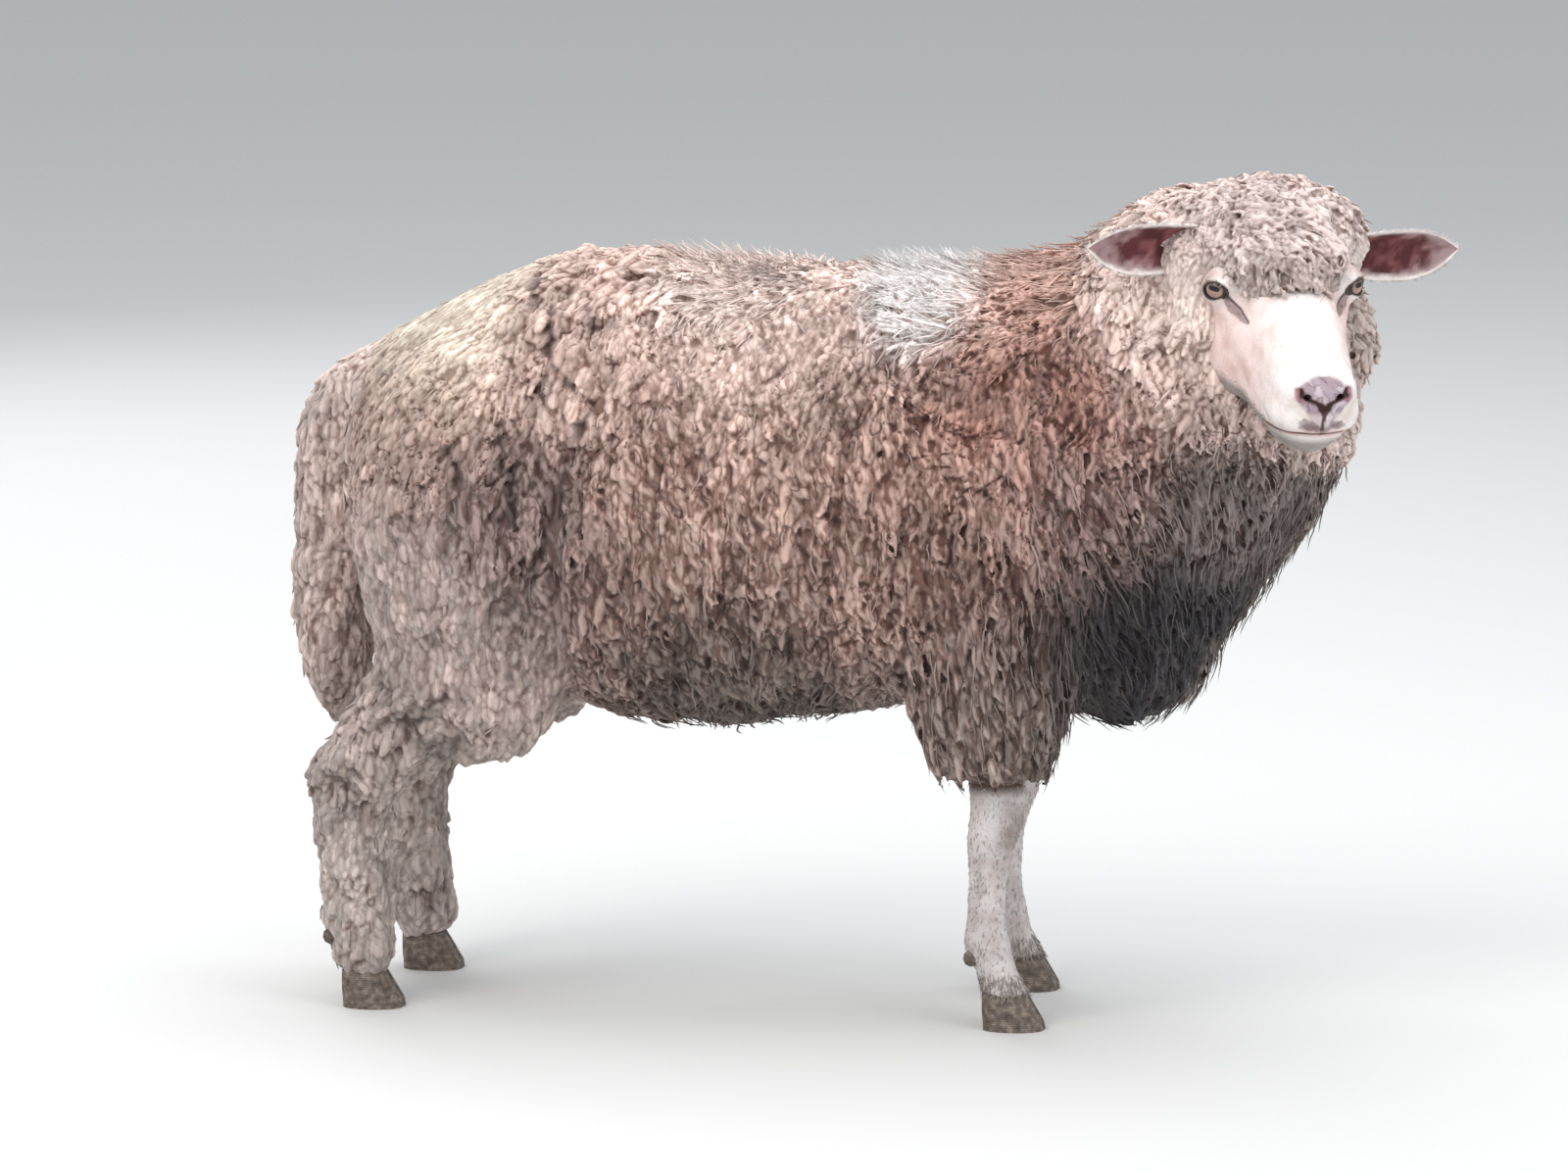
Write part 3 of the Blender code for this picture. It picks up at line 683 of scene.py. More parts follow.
def zipped(points, loopA, loopB, axis):
    # triangles between two rims that face each other along axis
    axis = unit(np.array(axis, float))
    centre = 0.5 * (points[loopA].mean(0) + points[loopB].mean(0))
    side = unit(np.cross(axis, (0.3, 0.9, 0.1)))
    other = np.cross(axis, side)

    def turned(loop):
        q = points[loop] - centre
        turn = np.unwrap(np.arctan2(q @ other, q @ side))
        loop = list(loop)
        if turn[-1] < turn[0]:
            loop, turn = loop[::-1], turn[::-1]
        start = int(np.argmin(np.mod(turn, 2 * math.pi)))
        loop = loop[start:] + loop[:start]
        q = points[loop] - centre
        turn = np.mod(np.arctan2(q @ other, q @ side), 2 * math.pi)
        return loop, np.maximum.accumulate(turn)

    a, ta = turned(loopA)
    b, tb = turned(loopB)
    tris, i, j = [], 0, 0
    while i < len(a) or j < len(b):
        ea = ta[i + 1] if i + 1 < len(a) else (7.0 if i < len(a) else 99)
        eb = tb[j + 1] if j + 1 < len(b) else (7.0 if j < len(b) else 99)
        if i < len(a) and (ea <= eb or j >= len(b)):
            tris.append((a[i], a[(i + 1) % len(a)], b[j % len(b)]))
            i += 1
        else:
            tris.append((a[i % len(a)], b[(j + 1) % len(b)], b[j]))
            j += 1
    return np.array(tris)


neckCut = {"at": np.array((0.3538, 0.0057, 0.6485)),
           "normal": unit(np.array((0.60, -0.50, 0.62))), "from": 0.15, "overlap": 0.006}


def buildSkin():
    depth = coatDepth(outline)
    body = outline - outlineNormals * depth[:, None]
    # the inner surface is eased so that creases don't fold over
    body = relaxed(body, outlineQuads, 6, 0.5, depth > 0.006)
    cut, lean = neckCut["at"], neckCut["normal"]
    quads = cutOff(body, outlineQuads, cut, lean, body[:, 0] > neckCut["from"])
    feet = {side: sheepAt + (shank["x"][side], side * shank["y"], shank["top"]) for side in (-1, 1)}
    for foot in feet.values():
        nearLeg = (np.abs(body[:, :2] - foot[:2]) < (0.08, 0.07)).all(1)
        quads = cutOff(body, quads, np.array((0, 0, shank["top"] + shank["overlap"])),
                       np.array((0, 0, -1.0)), nearLeg)
    headPoints, headTris = fineHead()
    headTris = cutOff(headPoints, headTris, cut + lean * neckCut["overlap"], -lean) + len(body)
    points, faces = np.vstack([body, headPoints]), [quads]
    legs = []
    for side in (-1, 1):
        p, q, cap, rim = lowerForeleg(side)
        faces.append(q + len(points))
        legs.append((side, cap + len(points), rim + len(points)))
        points = np.vstack([points, p])
    bodyRim, headRim = (rimOf(points, part, cut, 0.10, 20) for part in (quads, headTris))
    tris = [headTris, zipped(points, bodyRim, headRim, lean)]
    for side, _, top in legs:
        tris.append(zipped(points, rimOf(points, quads, feet[side], 0.06, 8), top, (0, 0, 1)))
    tris += [cap for _, cap, _ in legs]
    earOf = [np.zeros((len(points), 4))]
    for side in (-1, 1):
        p, q, inside, along, across = ear(side)
        faces.append(q + len(points))
        points = np.vstack([points, p])
        earOf.append(np.stack([np.ones(len(p)), inside, along, across], 1))
    # drop what no face uses
    used = np.unique(np.concatenate([f.ravel() for f in faces + tris]))
    renumber = np.full(len(points), -1)
    renumber[used] = np.arange(len(used))
    skin = addMesh("skin", points[used], [renumber[np.concatenate(f)] for f in (faces, tris)])
    inBmesh(skin.data, lambda bm: bmesh.ops.recalc_face_normals(bm, faces=bm.faces))
    return skin, points[used], np.concatenate(earOf)[used]


def relaxed(points, quads, rounds, share, which):
    corners = quads.shape[1]
    edges = np.concatenate([quads[:, [k, (k + 1) % corners]] for k in range(corners)])
    count = np.zeros(len(points))
    np.add.at(count, edges[:, 0], 1)
    for _ in range(rounds):
        total = np.zeros_like(points)
        for k in range(3):
            total[:, k] = np.bincount(edges[:, 0], points[edges[:, 1], k], len(points))
        mean = total / np.maximum(count, 1)[:, None]
        points = np.where(which[:, None], mixed(points, mean, share), points)
    return points


skinTones = {
    # under the wool the skin is painted dark, as the shade deep in the fleece
    "underWool": (0.085, 0.050, 0.038), "headWool": (0.36, 0.27, 0.225),
    # paleHighlight: pale hair with a painted highlight where light falls on the nose's top and the
    # lids
    "face": (0.80, 0.68, 0.65), "paleHighlight": (0.82, 0.78, 0.77), "cheek": (0.80, 0.63, 0.60),
    # the nostril colour darkens the nostrils, the groove and the mouth as painted shade in these
    # hollows, and the dark spots on the lip
    "nosePad": (0.36, 0.29, 0.33), "nostril": (0.035, 0.012, 0.014), "lip": (0.62, 0.44, 0.42),
    # shadedChin: grey chin hair, darkened by painted shade under the head
    "shadedChin": (0.25, 0.23, 0.212), "rim": (0.045, 0.034, 0.034), "tear": (0.13, 0.10, 0.10),
    "earBack": (0.82, 0.74, 0.70), "earRim": (0.88, 0.83, 0.80),
    "earInside": (0.105, 0.025, 0.029),
    "earPink": (0.25, 0.088, 0.092), "shank": (0.555, 0.525, 0.52), "knee": (0.34, 0.30, 0.28),
    "padLow": (0.66, 0.58, 0.60), "padDark": (0.120, 0.080, 0.098), "padPale": (0.56, 0.49, 0.53),
    "spot": (0.30, 0.24, 0.26), "red": (0.30, 0.125, 0.150), "earTip": (0.38, 0.27, 0.28),
    "earEdge": (0.50, 0.42, 0.42),
}


def markLines(places, rows):
    # how far each place is outside a line of changing half width: along, down, half width
    best = np.full(len(places), 1.0)
    for (xa, ya, ra), (xb, yb, rb) in zip(rows, rows[1:]):
        a, d = np.array((xa, ya)), np.array((xb - xa, yb - ya))
        h = np.clip((places - a) @ d / (d @ d), 0, 1)
        best = np.minimum(best, farFrom(places - a, h[:, None] * d) - mixed(ra, rb, h))
    return best


faceMarks = {
    # across and down the face, as it is seen from ahead and half to one side, and half widths
    "tear": ((-0.0470, 0.0160, 0.0014), (-0.0405, 0.0215, 0.0032), (-0.0345, 0.0335, 0.0050),
             (-0.0250, 0.0425, 0.0042), (-0.0165, 0.0515, 0.0012)),
    "tearEdge": ((-0.0488, 0.0085, 0.0010), (-0.0385, 0.0228, 0.0013), (-0.0238, 0.0366, 0.0009),
                 (-0.0160, 0.0500, 0.0006)),
    "tearPit": ((-0.0445, 0.0180, 0.0020), (-0.0385, 0.0235, 0.0016)),
    "nostril": ((0.0372, 0.1180, 0.0010), (0.0378, 0.1240, 0.0022), (0.0450, 0.1285, 0.0009),
                (0.0520, 0.1310, 0.0015), (0.0570, 0.1350, 0.0030), (0.0604, 0.1385, 0.0030)),
    "redden": ((0.0350, 0.1200, 0.0035), (0.0370, 0.1270, 0.0030)),
    "lowSpots": ((0.0400, 0.1510, 0.0040), (0.0520, 0.1580, 0.0050)),
}


def skinColours(points, earOf):
    c = {k: np.array(v) for k, v in skinTones.items()}
    x, _, z = bodyPlace(points)
    local = toHead(points)
    u, v, w = local.T
    a = np.abs(v)

    def even(colour):
        return np.tile(c[colour], (len(points), 1))

    def lay(colour, below, share):
        return mixed(below, c[colour] if isinstance(colour, str) else colour, share[:, None])

    # painted shade: the skin under the wool is dark, as deep in the fleece
    out = lay("headWool", even("underWool"), step(0.15, 0.10, farFrom(local, (0.05, 0, -0.01))))
    face = lay("cheek", even("face"),
               step(0.030, 0.050, a) * step(0.17, 0.10, u) * step(0.02, -0.02, w))
    # the top of the nose and the front of the muzzle: pale hair with a painted highlight
    face = lay("paleHighlight", face,
               step(0.034, 0.018, a) * step(-0.020, 0.004, w) * step(0.06, 0.09, u))
    face = lay("paleHighlight", face, step(0.150, 0.165, u) * 0.8)
    mottle = cloud(local, 0.0065, 3)
    # nose pad: round the nostrils, and narrowing down the groove to the mouth
    half = np.interp(w, (-0.046, -0.034, -0.022, -0.012), (0.007, 0.011, 0.018, 0.028))
    pad = (step(-0.0012, 0.0016, 0.0035 - 12 * a * a - w) * step(0.0, 0.0035, half - a)
           * step(0.188, 0.192, u) * step(-0.0475, -0.0445, w))
    padColour = lay("padLow", even("nosePad"), step(-0.021, -0.027, w))
    padColour = lay("padDark", padColour, step(0.16, 0.06, np.abs(mottle + 0.1)) * 0.55)
    padColour = lay("padPale", padColour, step(0.15, 0.6, -mottle) * 0.7)
    face = lay(padColour, face, pad)
    seen = np.stack([0.298 * u - 1.103 * a + 0.131 * w, 0.558 * u + 0.031 * a - 1.017 * w], 1)
    ragged = 0.0007 * mottle
    ahead = step(0.176, 0.186, u)
    spots = markLines(seen, faceMarks["lowSpots"]) + 0.0030 * mottle
    face = lay("spot", face, step(0.0015, -0.0015, spots) * ahead * 0.75)
    face = lay(c["nostril"] * 3.5, face, step(0.0016, -0.0010, spots + 0.0034) * ahead * 0.5)
    redden = markLines(seen, faceMarks["redden"]) + ragged
    face = lay("red", face, step(0.0022, -0.0012, redden) * ahead * 0.85)
    # the nostril slits: painted shade in the openings, with a softer dark margin
    slit = markLines(seen, faceMarks["nostril"]) + ragged
    face = lay(c["nostril"] * 3.0, face, step(0.0018, 0.0002, slit) * ahead * 0.8)
    face = lay("nostril", face, step(0.0006, -0.0004, slit) * ahead)
    # the groove under the nose: painted shade in the groove
    groove = a - np.interp(w, (-0.046, -0.034, -0.026, -0.020), (0.0012, 0.0016, 0.0022, 0.0060))
    inGroove = (step(0.0006, -0.0004, groove + ragged) * step(0.190, 0.196, u)
                * step(-0.048, -0.045, w) * step(-0.018, -0.021, w))
    face = lay(c["nostril"] * 1.4, face, inGroove * 0.92)
    # mouth line: pink lips, and painted shade in the slit between them
    corner = muzzle["mouth"][0][0]
    line = np.abs(w - mouthLevel(u, a))
    onLip = step(corner - 0.003, corner + 0.008, u)
    face = lay("lip", face, step(0.0060, 0.0020, line) * onLip * 0.55)
    face = lay(c["nostril"] * 2.0, face, step(0.0012, 0.0003, line) * onLip)
    # eye rims and the dark streak under the inner corner
    e, side, up = eyeAxes()
    mirror = np.stack([u, a, w], 1) - eyes["at"]
    rx, ry = (mirror @ side / (eyes["halfWide"] + 0.0012),
              mirror @ up / (eyes["halfHigh"] + 0.0012))
    ring, front = np.sqrt(rx * rx + ry * ry), mirror @ e
    # a pale ring round the eye: pale lid hair with a painted highlight on the lids
    face = lay("paleHighlight", face, step(1.9, 1.4, ring) * (front > 0) * 0.8)
    face = lay("rim", face, step(1.13, 1.02, ring) * (front > 0.002))
    beside = (a > 0.026) & (u < 0.112) & (u > 0.040)
    streak = markLines(seen, faceMarks["tear"]) + 1.2 * ragged
    face = lay(c["tear"] * 2.3, face, step(0.0009, -0.0009, streak) * beside * 0.85)
    face = lay("tear", face,
               step(0.0006, -0.0010, streak + 0.0024) * step(-0.1, 0.5, mottle) * beside * 0.6)
    for mark, reach, share in (("tearEdge", (0.0007, -0.0004), 0.9),
                               ("tearPit", (0.0010, -0.0006), 0.95)):
        face = lay("rim", face, step(*reach, markLines(seen, faceMarks[mark])) * beside * share)
    # the chin and the underside of the jaw: grey hair with painted shade under the head
    face = lay("shadedChin", face, step(-0.050, -0.062, w + 0.8 * a * a) * 0.85)
    # the face's short hair goes on a little way under the wool
    out = lay(face, out, np.maximum(bareShare(local), bareShare(local + (0.024, 0, 0))))
    # lower forelegs
    knee = step(0.030, 0.010, np.abs(z - 0.192)) * step(0.004, 0.018, x - 0.123)
    legColour = lay("knee", even("shank"), knee * step(-0.5, 0.8, cloud(points, 0.02, 5)))
    legColour = legColour * (1 + 0.10 * cloud(points, 0.03, 6)[:, None])
    out = lay(legColour, out, step(0.236, 0.222, z) * (x > 0.02))
    # ears
    on, inside, along, across = earOf.T
    rim = np.abs(across)
    blotch = cloud(points, 0.009, 8, 3)
    inner = lay("earPink", even("earInside"), step(-0.5, 0.9, blotch) * 0.9)
    inner = lay("earTip", inner, step(0.66, 1.05, along + 0.25 * rim + 0.14 * blotch))
    # painted shade deep in the ear's cup, towards its base
    inner = lay(c["earInside"] * 0.6, inner,
                step(0.0, 0.9, -blotch) * step(0.7, 0.4, along) * 0.6)
    inner = lay("earEdge", inner, step(0.66, 0.88, rim + 0.05 * blotch) * 0.7)
    inner = lay("earRim", inner, step(0.80, 0.94, rim + 0.25 * step(0.86, 1.0, along)
                                      + 0.03 * cloud(points, 0.006, 9)))
    earColour = np.where(inside[:, None] > 0.5, inner, c["earBack"])
    return np.where(on[:, None] > 0.5, earColour, out)


# materials

def feed(socket, value):
    # a value of its own, or a link from another node
    if isinstance(value, bpy.types.NodeSocket):
        socket.id_data.links.new(value, socket)
    else:
        socket.default_value = value


def newMaterial(name, roughness, specular=0.3):
    made = bpy.data.materials.new(name)
    made.use_nodes = True
    shader = made.node_tree.nodes["Principled BSDF"]
    feed(shader.inputs["Roughness"], roughness)
    feed(shader.inputs["Specular IOR Level"], specular)
    return made, made.node_tree.nodes, shader.inputs


def node(nodes, kind, out, settings=None, **inputs):
    # one node: its settings, then what goes into it; hands back one of its outputs
    made = nodes.new("ShaderNode" + kind)
    for field, value in (settings or {}).items():
        setattr(made, field, value)
    for name, value in inputs.items():
        feed(made.inputs[name], value)
    return made.outputs[out]


def given(nodes, name, out="Color"):
    return node(nodes, "Attribute", out, {"attribute_name": name})


def placeOn(nodes):
    return node(nodes, "TexCoord", "Object")


def ramp(nodes, value, *stops):
    made = nodes.new("ShaderNodeValToRGB")
    while len(made.color_ramp.elements) < len(stops):
        made.color_ramp.elements.new(0.5)
    for element, (at, colour) in zip(made.color_ramp.elements, stops):
        element.position = at
        element.color = (*(colour if isinstance(colour, tuple) else (colour,) * 3), 1)
    feed(made.inputs["Fac"], value)
    return made.outputs["Color"]


def tinted(nodes, colour, tint, share):
    made = nodes.new("ShaderNodeMix")
    made.data_type = "RGBA"
    made.blend_type = "MULTIPLY"
    for socket, value in ((6, colour), (7, tint), (0, share)):
        feed(made.inputs[socket], value)
    return made.outputs[2]


def bumped(nodes, height, strength, distance):
    return node(nodes, "Bump", "Normal", Strength=strength, Distance=distance, Height=height)


def worked(nodes, operation, a, b):
    made = nodes.new("ShaderNodeMath")
    made.operation = operation
    feed(made.inputs[0], a)
    feed(made.inputs[1], b)
    return made.outputs["Value"]


def woolMaterial():
    made, nodes, shader = newMaterial("wool", 0.88, 0.18)
    stretched = node(nodes, "Mapping", "Vector", Scale=(1.0, 1.0, 0.10),
                     Vector=given(nodes, "strand", "Vector"))
    fibre = node(nodes, "TexNoise", "Fac", Scale=3.4, Detail=3.0, Vector=stretched)
    # painted shade: each lock darker towards its root, deep in the fleece
    depth = ramp(nodes, given(nodes, "along", "Fac"),
                 (0.0, 0.22), (0.26, 0.50), (0.55, 0.92), (0.90, 1.10))
    colour = tinted(nodes, given(nodes, "coat"), depth, 1.0)
    colour = tinted(nodes, colour, ramp(nodes, fibre, (0.32, 0.84), (0.62, 1.08)), 0.75)
    # thin wavy partings that run down the fleece, as strong as "lie" says: painted shade in them, a
    # little painted light beside them, and a dip in the bump
    lie = given(nodes, "lie", "Fac")
    place = placeOn(nodes)
    bent = nodes.new("ShaderNodeVectorMath")
    bent.operation = "MULTIPLY_ADD"
    feed(bent.inputs[0], node(nodes, "TexNoise", "Color", Scale=32.0, Vector=place))
    feed(bent.inputs[1], (0.024, 0.024, 0.024))
    feed(bent.inputs[2], place)
    drawnOut = node(nodes, "Mapping", "Vector", Scale=(1.0, 1.0, 0.20),
                    Vector=bent.outputs["Vector"])
    strands = node(nodes, "TexNoise", "Fac", Scale=88.0, Detail=1.2, Vector=drawnOut)
    parting = (0.40, 0.30, 0.265)
    gapLine = ramp(nodes, strands, (0.405, 1.06), (0.470, parting), (0.505, parting),
                   (0.590, 1.10))
    feed(shader["Base Color"], tinted(nodes, colour, gapLine, lie))
    height = worked(nodes, "ADD", fibre, worked(nodes, "MULTIPLY", gapLine, lie))
    feed(shader["Normal"], bumped(nodes, height, 0.55, 0.0024))
    feed(shader["Sheen Weight"], 0.15)
    feed(shader["Sheen Roughness"], 0.6)
    return made


def skinMaterial():
    made, nodes, shader = newMaterial("short_haired_skin", 0.72, 0.30)
    place = placeOn(nodes)
    combed = node(nodes, "Mapping", "Vector", Rotation=(0.0, -0.35, 1.17),
                  Scale=(0.30, 1.0, 1.0), Vector=place)
    hair = node(nodes, "TexNoise", "Fac", Scale=900.0, Detail=2.0, Vector=combed)
    patch = node(nodes, "TexNoise", "Fac", Scale=60.0, Detail=4.0, Vector=place)
    vary = ramp(nodes, patch, (0.34, (0.84, 0.75, 0.71)), (0.60, (1.04, 1.03, 1.03)))
    colour = tinted(nodes, given(nodes, "coat"), vary, 0.8)
    fine = ramp(nodes, hair, (0.30, 0.86), (0.62, 1.08))
    feed(shader["Base Color"], tinted(nodes, colour, fine, 0.7))
    feed(shader["Normal"], bumped(nodes, hair, 0.45, 0.0008))
    feed(shader["Subsurface Weight"], 0.08)
    feed(shader["Subsurface Radius"], (0.006, 0.003, 0.002))
    feed(shader["Subsurface Scale"], 0.5)
    return made


skin, skinPoints, earOf = buildSkin()
paint(skin, "coat", skinColours(skinPoints, earOf))
skin.data.materials.append(skinMaterial())
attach(skin, "root")
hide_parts(*fleece["nodes"], "ear_right", "ear_left")
print("skin:", sum(len(p.vertices) - 2 for p in skin.data.polygons), "triangles")


def headSurface():
    points, _, tris = arraysOf(skin.data)
    near = farFrom(toHead(points[tris].mean(1)), (0.04, 0, -0.02)) < 0.20
    near &= earOf[tris].mean(1)[:, 0] < 0.5
    return BVHTree.FromPolygons(points.tolist(), tris[near].tolist())


headTree = headSurface()


def overSkin(points):
    # how far each point round the face stands off the bare head: below nought inside it
    out = np.full(len(points), 0.05)
    near = np.flatnonzero(farFrom(toHead(points), (0.07, 0, -0.03)) < 0.155)
    for i, p in zip(near.tolist(), points[near].tolist()):
        at, n, _, d = headTree.find_nearest(p)
        out[i] = -d if d < 0.022 and (Vector(p) - at).dot(n) < 0 else d
    return out


# the outline is brought out over the bare head where it runs under it
lifted = mixed(0.0045, 0.0010, bareShare(toHead(outline))) - overSkin(outline)
lifted = np.clip(lifted, 0, 0.014) * step(0.135, 0.115, toHead(outline)[:, 0])
outline = relaxed(outline + outlineNormals * lifted[:, None], outlineQuads, 1, 0.5, lifted > 0)


# the coat, area by area

# what is usual, where an area doesn't say otherwise: how much the wool ropes together, how many
# loose wisps stand out, how far it sinks, how strong its relief is, its lumps and its partings
usual = {"rope": 1.0, "wisps": 0.03, "sink": 0.0, "relief": 1.0, "lumps": 0.0, "lie": 0.35}
lockFields = ("width", "length", "wave", "turns", "lift", "round", "spread", "clump", "space")


def locksOf(at, reach, colour, flow, lockSizes, **unusual):
    # flow: ahead, outward, up; lockSizes in the order of lockFields
    return {"at": at, "reach": reach, "colour": colour, "flow": flow,
            **dict(zip(lockFields, lockSizes)), **usual, **unusual}


# each area lies round its x and height on the body, and fades with its reach
areas = {
    # rump: cream wool, with a painted highlight on its top
    "rump": locksOf((-0.42, 0.680), 0.065, (0.662, 0.581, 0.472), (-0.9, 0.25, -0.5),
                    (0.0050, 0.020, 0.0005, 0.8, 0.0006, 0.3, 0.20, 0.0, 0.0068),
                    rope=0.3, relief=0.3, lie=0.2),
    "rumpSide": locksOf((-0.42, 0.570), 0.055, (0.360, 0.258, 0.222), (-0.45, 0.1, -0.9),
                        (0.0090, 0.022, 0.0010, 0.9, 0.0020, 1.0, 0.32, 0.2, 0.0078), lie=0.35),
    "hip": locksOf((-0.285, 0.640), 0.060, (0.553, 0.407, 0.358), (-0.1, 0.1, -1.0),
                   (0.0105, 0.024, 0.0010, 0.8, 0.0032, 1.0, 0.32, 0.3, 0.0085),
                   lumps=0.002, lie=0.4),
    "thigh": locksOf((-0.415, 0.400), 0.065, (0.403, 0.322, 0.293), (0.05, 0.0, -1.0),
                     (0.0105, 0.024, 0.0012, 0.9, 0.0008, 1.0, 0.4, 0.1, 0.0080),
                     rope=0.6, relief=0.45, lumps=0.0025, lie=0.4),
    "flankBack": locksOf((-0.335, 0.480), 0.055, (0.198, 0.141, 0.131), (0.0, 0.0, -1.0),
                         (0.0076, 0.032, 0.0022, 1.3, 0.0022, 0.4, 0.20, 0.3, 0.0074),
                         rope=1.6, relief=0.75, lie=0.8),
    "flank": locksOf((-0.10, 0.500), 0.100, (0.372, 0.255, 0.218), (0.03, 0.0, -1.0),
                     (0.0078, 0.026, 0.0022, 1.2, 0.0020, 0.9, 0.28, 0.2, 0.0074),
                     rope=1.15, relief=0.7, lie=0.9),
    "flankLow": locksOf((-0.12, 0.375), 0.060, (0.159, 0.122, 0.105), (0.05, 0.0, -1.0),
                        (0.0064, 0.042, 0.003, 1.5, 0.0030, 0.2, 0.20, 0.4, 0.0078),
                        rope=1.8, wisps=0.15, relief=0.6, lumps=0.0015, lie=1.0),
    "flankTop": locksOf((-0.10, 0.630), 0.060, (0.554, 0.416, 0.370), (-0.2, 0.2, -1.0),
                        (0.0076, 0.021, 0.0014, 1.1, 0.0016, 0.9, 0.45, 0.1, 0.0070),
                        relief=0.45, lie=0.4),
    # back: cream wool, with a painted highlight along the top
    "back": locksOf((-0.13, 0.712), 0.042, (0.843, 0.722, 0.670), (-0.45, 0.35, 0.25),
                    (0.0050, 0.028, 0.0012, 0.9, 0.0085, 0.1, 0.45, 0.3, 0.0070),
                    wisps=3.0, sink=0.005, relief=0.35),
    # withers: pale wool, with a painted highlight that makes it near white
    "withers": locksOf((0.065, 0.715), 0.038, (0.920, 0.920, 0.919), (-0.5, 0.2, 0.35),
                       (0.0050, 0.032, 0.0012, 0.8, 0.011, 0.0, 0.45, 0.5, 0.0072),
                       wisps=4.0, sink=0.007, relief=0.4, lie=0.3),
    "belly": locksOf((-0.10, 0.290), 0.050, (0.132, 0.102, 0.090), (0.05, 0.0, -1.0),
                     (0.0078, 0.036, 0.0026, 1.4, 0.0040, 0.4, 0.30, 0.4, 0.0085),
                     wisps=0.8, sink=0.003),
    "rust": locksOf((0.165, 0.600), 0.065, (0.326, 0.193, 0.162), (-0.35, 0.0, -0.9),
                    (0.0068, 0.024, 0.0020, 1.2, 0.0026, 0.6, 0.45, 0.2, 0.0070), lie=0.6),
    "rustTop": locksOf((0.14, 0.705), 0.045, (0.624, 0.416, 0.352), (-0.7, 0.2, -0.1),
                       (0.0056, 0.026, 0.0014, 1.0, 0.0050, 0.1, 0.40, 0.3, 0.0070),
                       wisps=2.0, sink=0.004, lie=0.4),
    "shoulder": locksOf((0.09, 0.470), 0.085, (0.370, 0.249, 0.212), (0.08, 0.0, -1.0),
                        (0.006, 0.030, 0.0020, 1.4, 0.0026, 0.3, 0.25, 0.3, 0.0070),
                        rope=1.4, wisps=0.05, lie=0.75),
    "foreArm": locksOf((0.11, 0.320), 0.060, (0.325, 0.254, 0.224), (0.12, 0.0, -1.0),
                       (0.0058, 0.04, 0.0018, 1.3, 0.0030, 0.3, 0.20, 0.4, 0.0072),
                       rope=1.7, wisps=0.3, relief=0.7, lie=0.9),
    "neckLow": locksOf((0.215, 0.500), 0.055, (0.301, 0.215, 0.199), (0.50, 0.0, -0.85),
                       (0.0056, 0.038, 0.0014, 1.1, 0.0034, 0.1, 0.20, 0.4, 0.0068),
                       rope=1.6, wisps=0.35, relief=0.8, lie=0.9),
    "neckRed": locksOf((0.250, 0.610), 0.055, (0.310, 0.202, 0.177), (0.10, 0.0, -1.0),
                       (0.0066, 0.026, 0.0020, 1.2, 0.0028, 0.5, 0.45, 0.2, 0.0070), lie=0.6),
    # brisket: dark, dirty wool, darkened further by painted shade in the recess between shoulder
    # and neck
    "brisket": locksOf((0.255, 0.370), 0.075, (0.023, 0.022, 0.028), (0.25, 0.0, -1.0),
                       (0.0056, 0.034, 0.0018, 1.2, 0.0045, 0.0, 0.30, 0.4, 0.0074),
                       rope=1.2, wisps=1.6, sink=0.003, lie=0.6),
    "breast": locksOf((0.345, 0.500), 0.045, (0.199, 0.167, 0.164), (0.20, 0.1, -1.0),
                      (0.0058, 0.030, 0.0018, 1.2, 0.0040, 0.1, 0.35, 0.4, 0.0074),
                      rope=1.3, wisps=1.4, sink=0.003, lie=0.7),
    "crest": locksOf((0.265, 0.745), 0.045, (0.607, 0.484, 0.443), (-0.55, 0.4, -0.2),
                     (0.0062, 0.022, 0.0016, 1.0, 0.0050, 0.3, 0.50, 0.3, 0.0070),
                     wisps=1.0, sink=0.003, relief=0.6),
    "hindLeg": locksOf((-0.46, 0.250), 0.055, (0.367, 0.300, 0.273), (-0.1, 0.0, -1.0),
                       (0.0100, 0.022, 0.0014, 0.9, 0.0034, 1.0, 0.60, 0.3, 0.0080),
                       wisps=0.05, relief=0.6, lumps=0.0045, lie=0.3),
    "hindShank": locksOf((-0.49, 0.120), 0.080, (0.374, 0.316, 0.292), (-0.1, 0.0, -1.0),
                         (0.0086, 0.019, 0.0012, 0.8, 0.0022, 1.0, 0.50, 0.3, 0.0070),
                         relief=0.4, lumps=0.0035, lie=0.3),
}
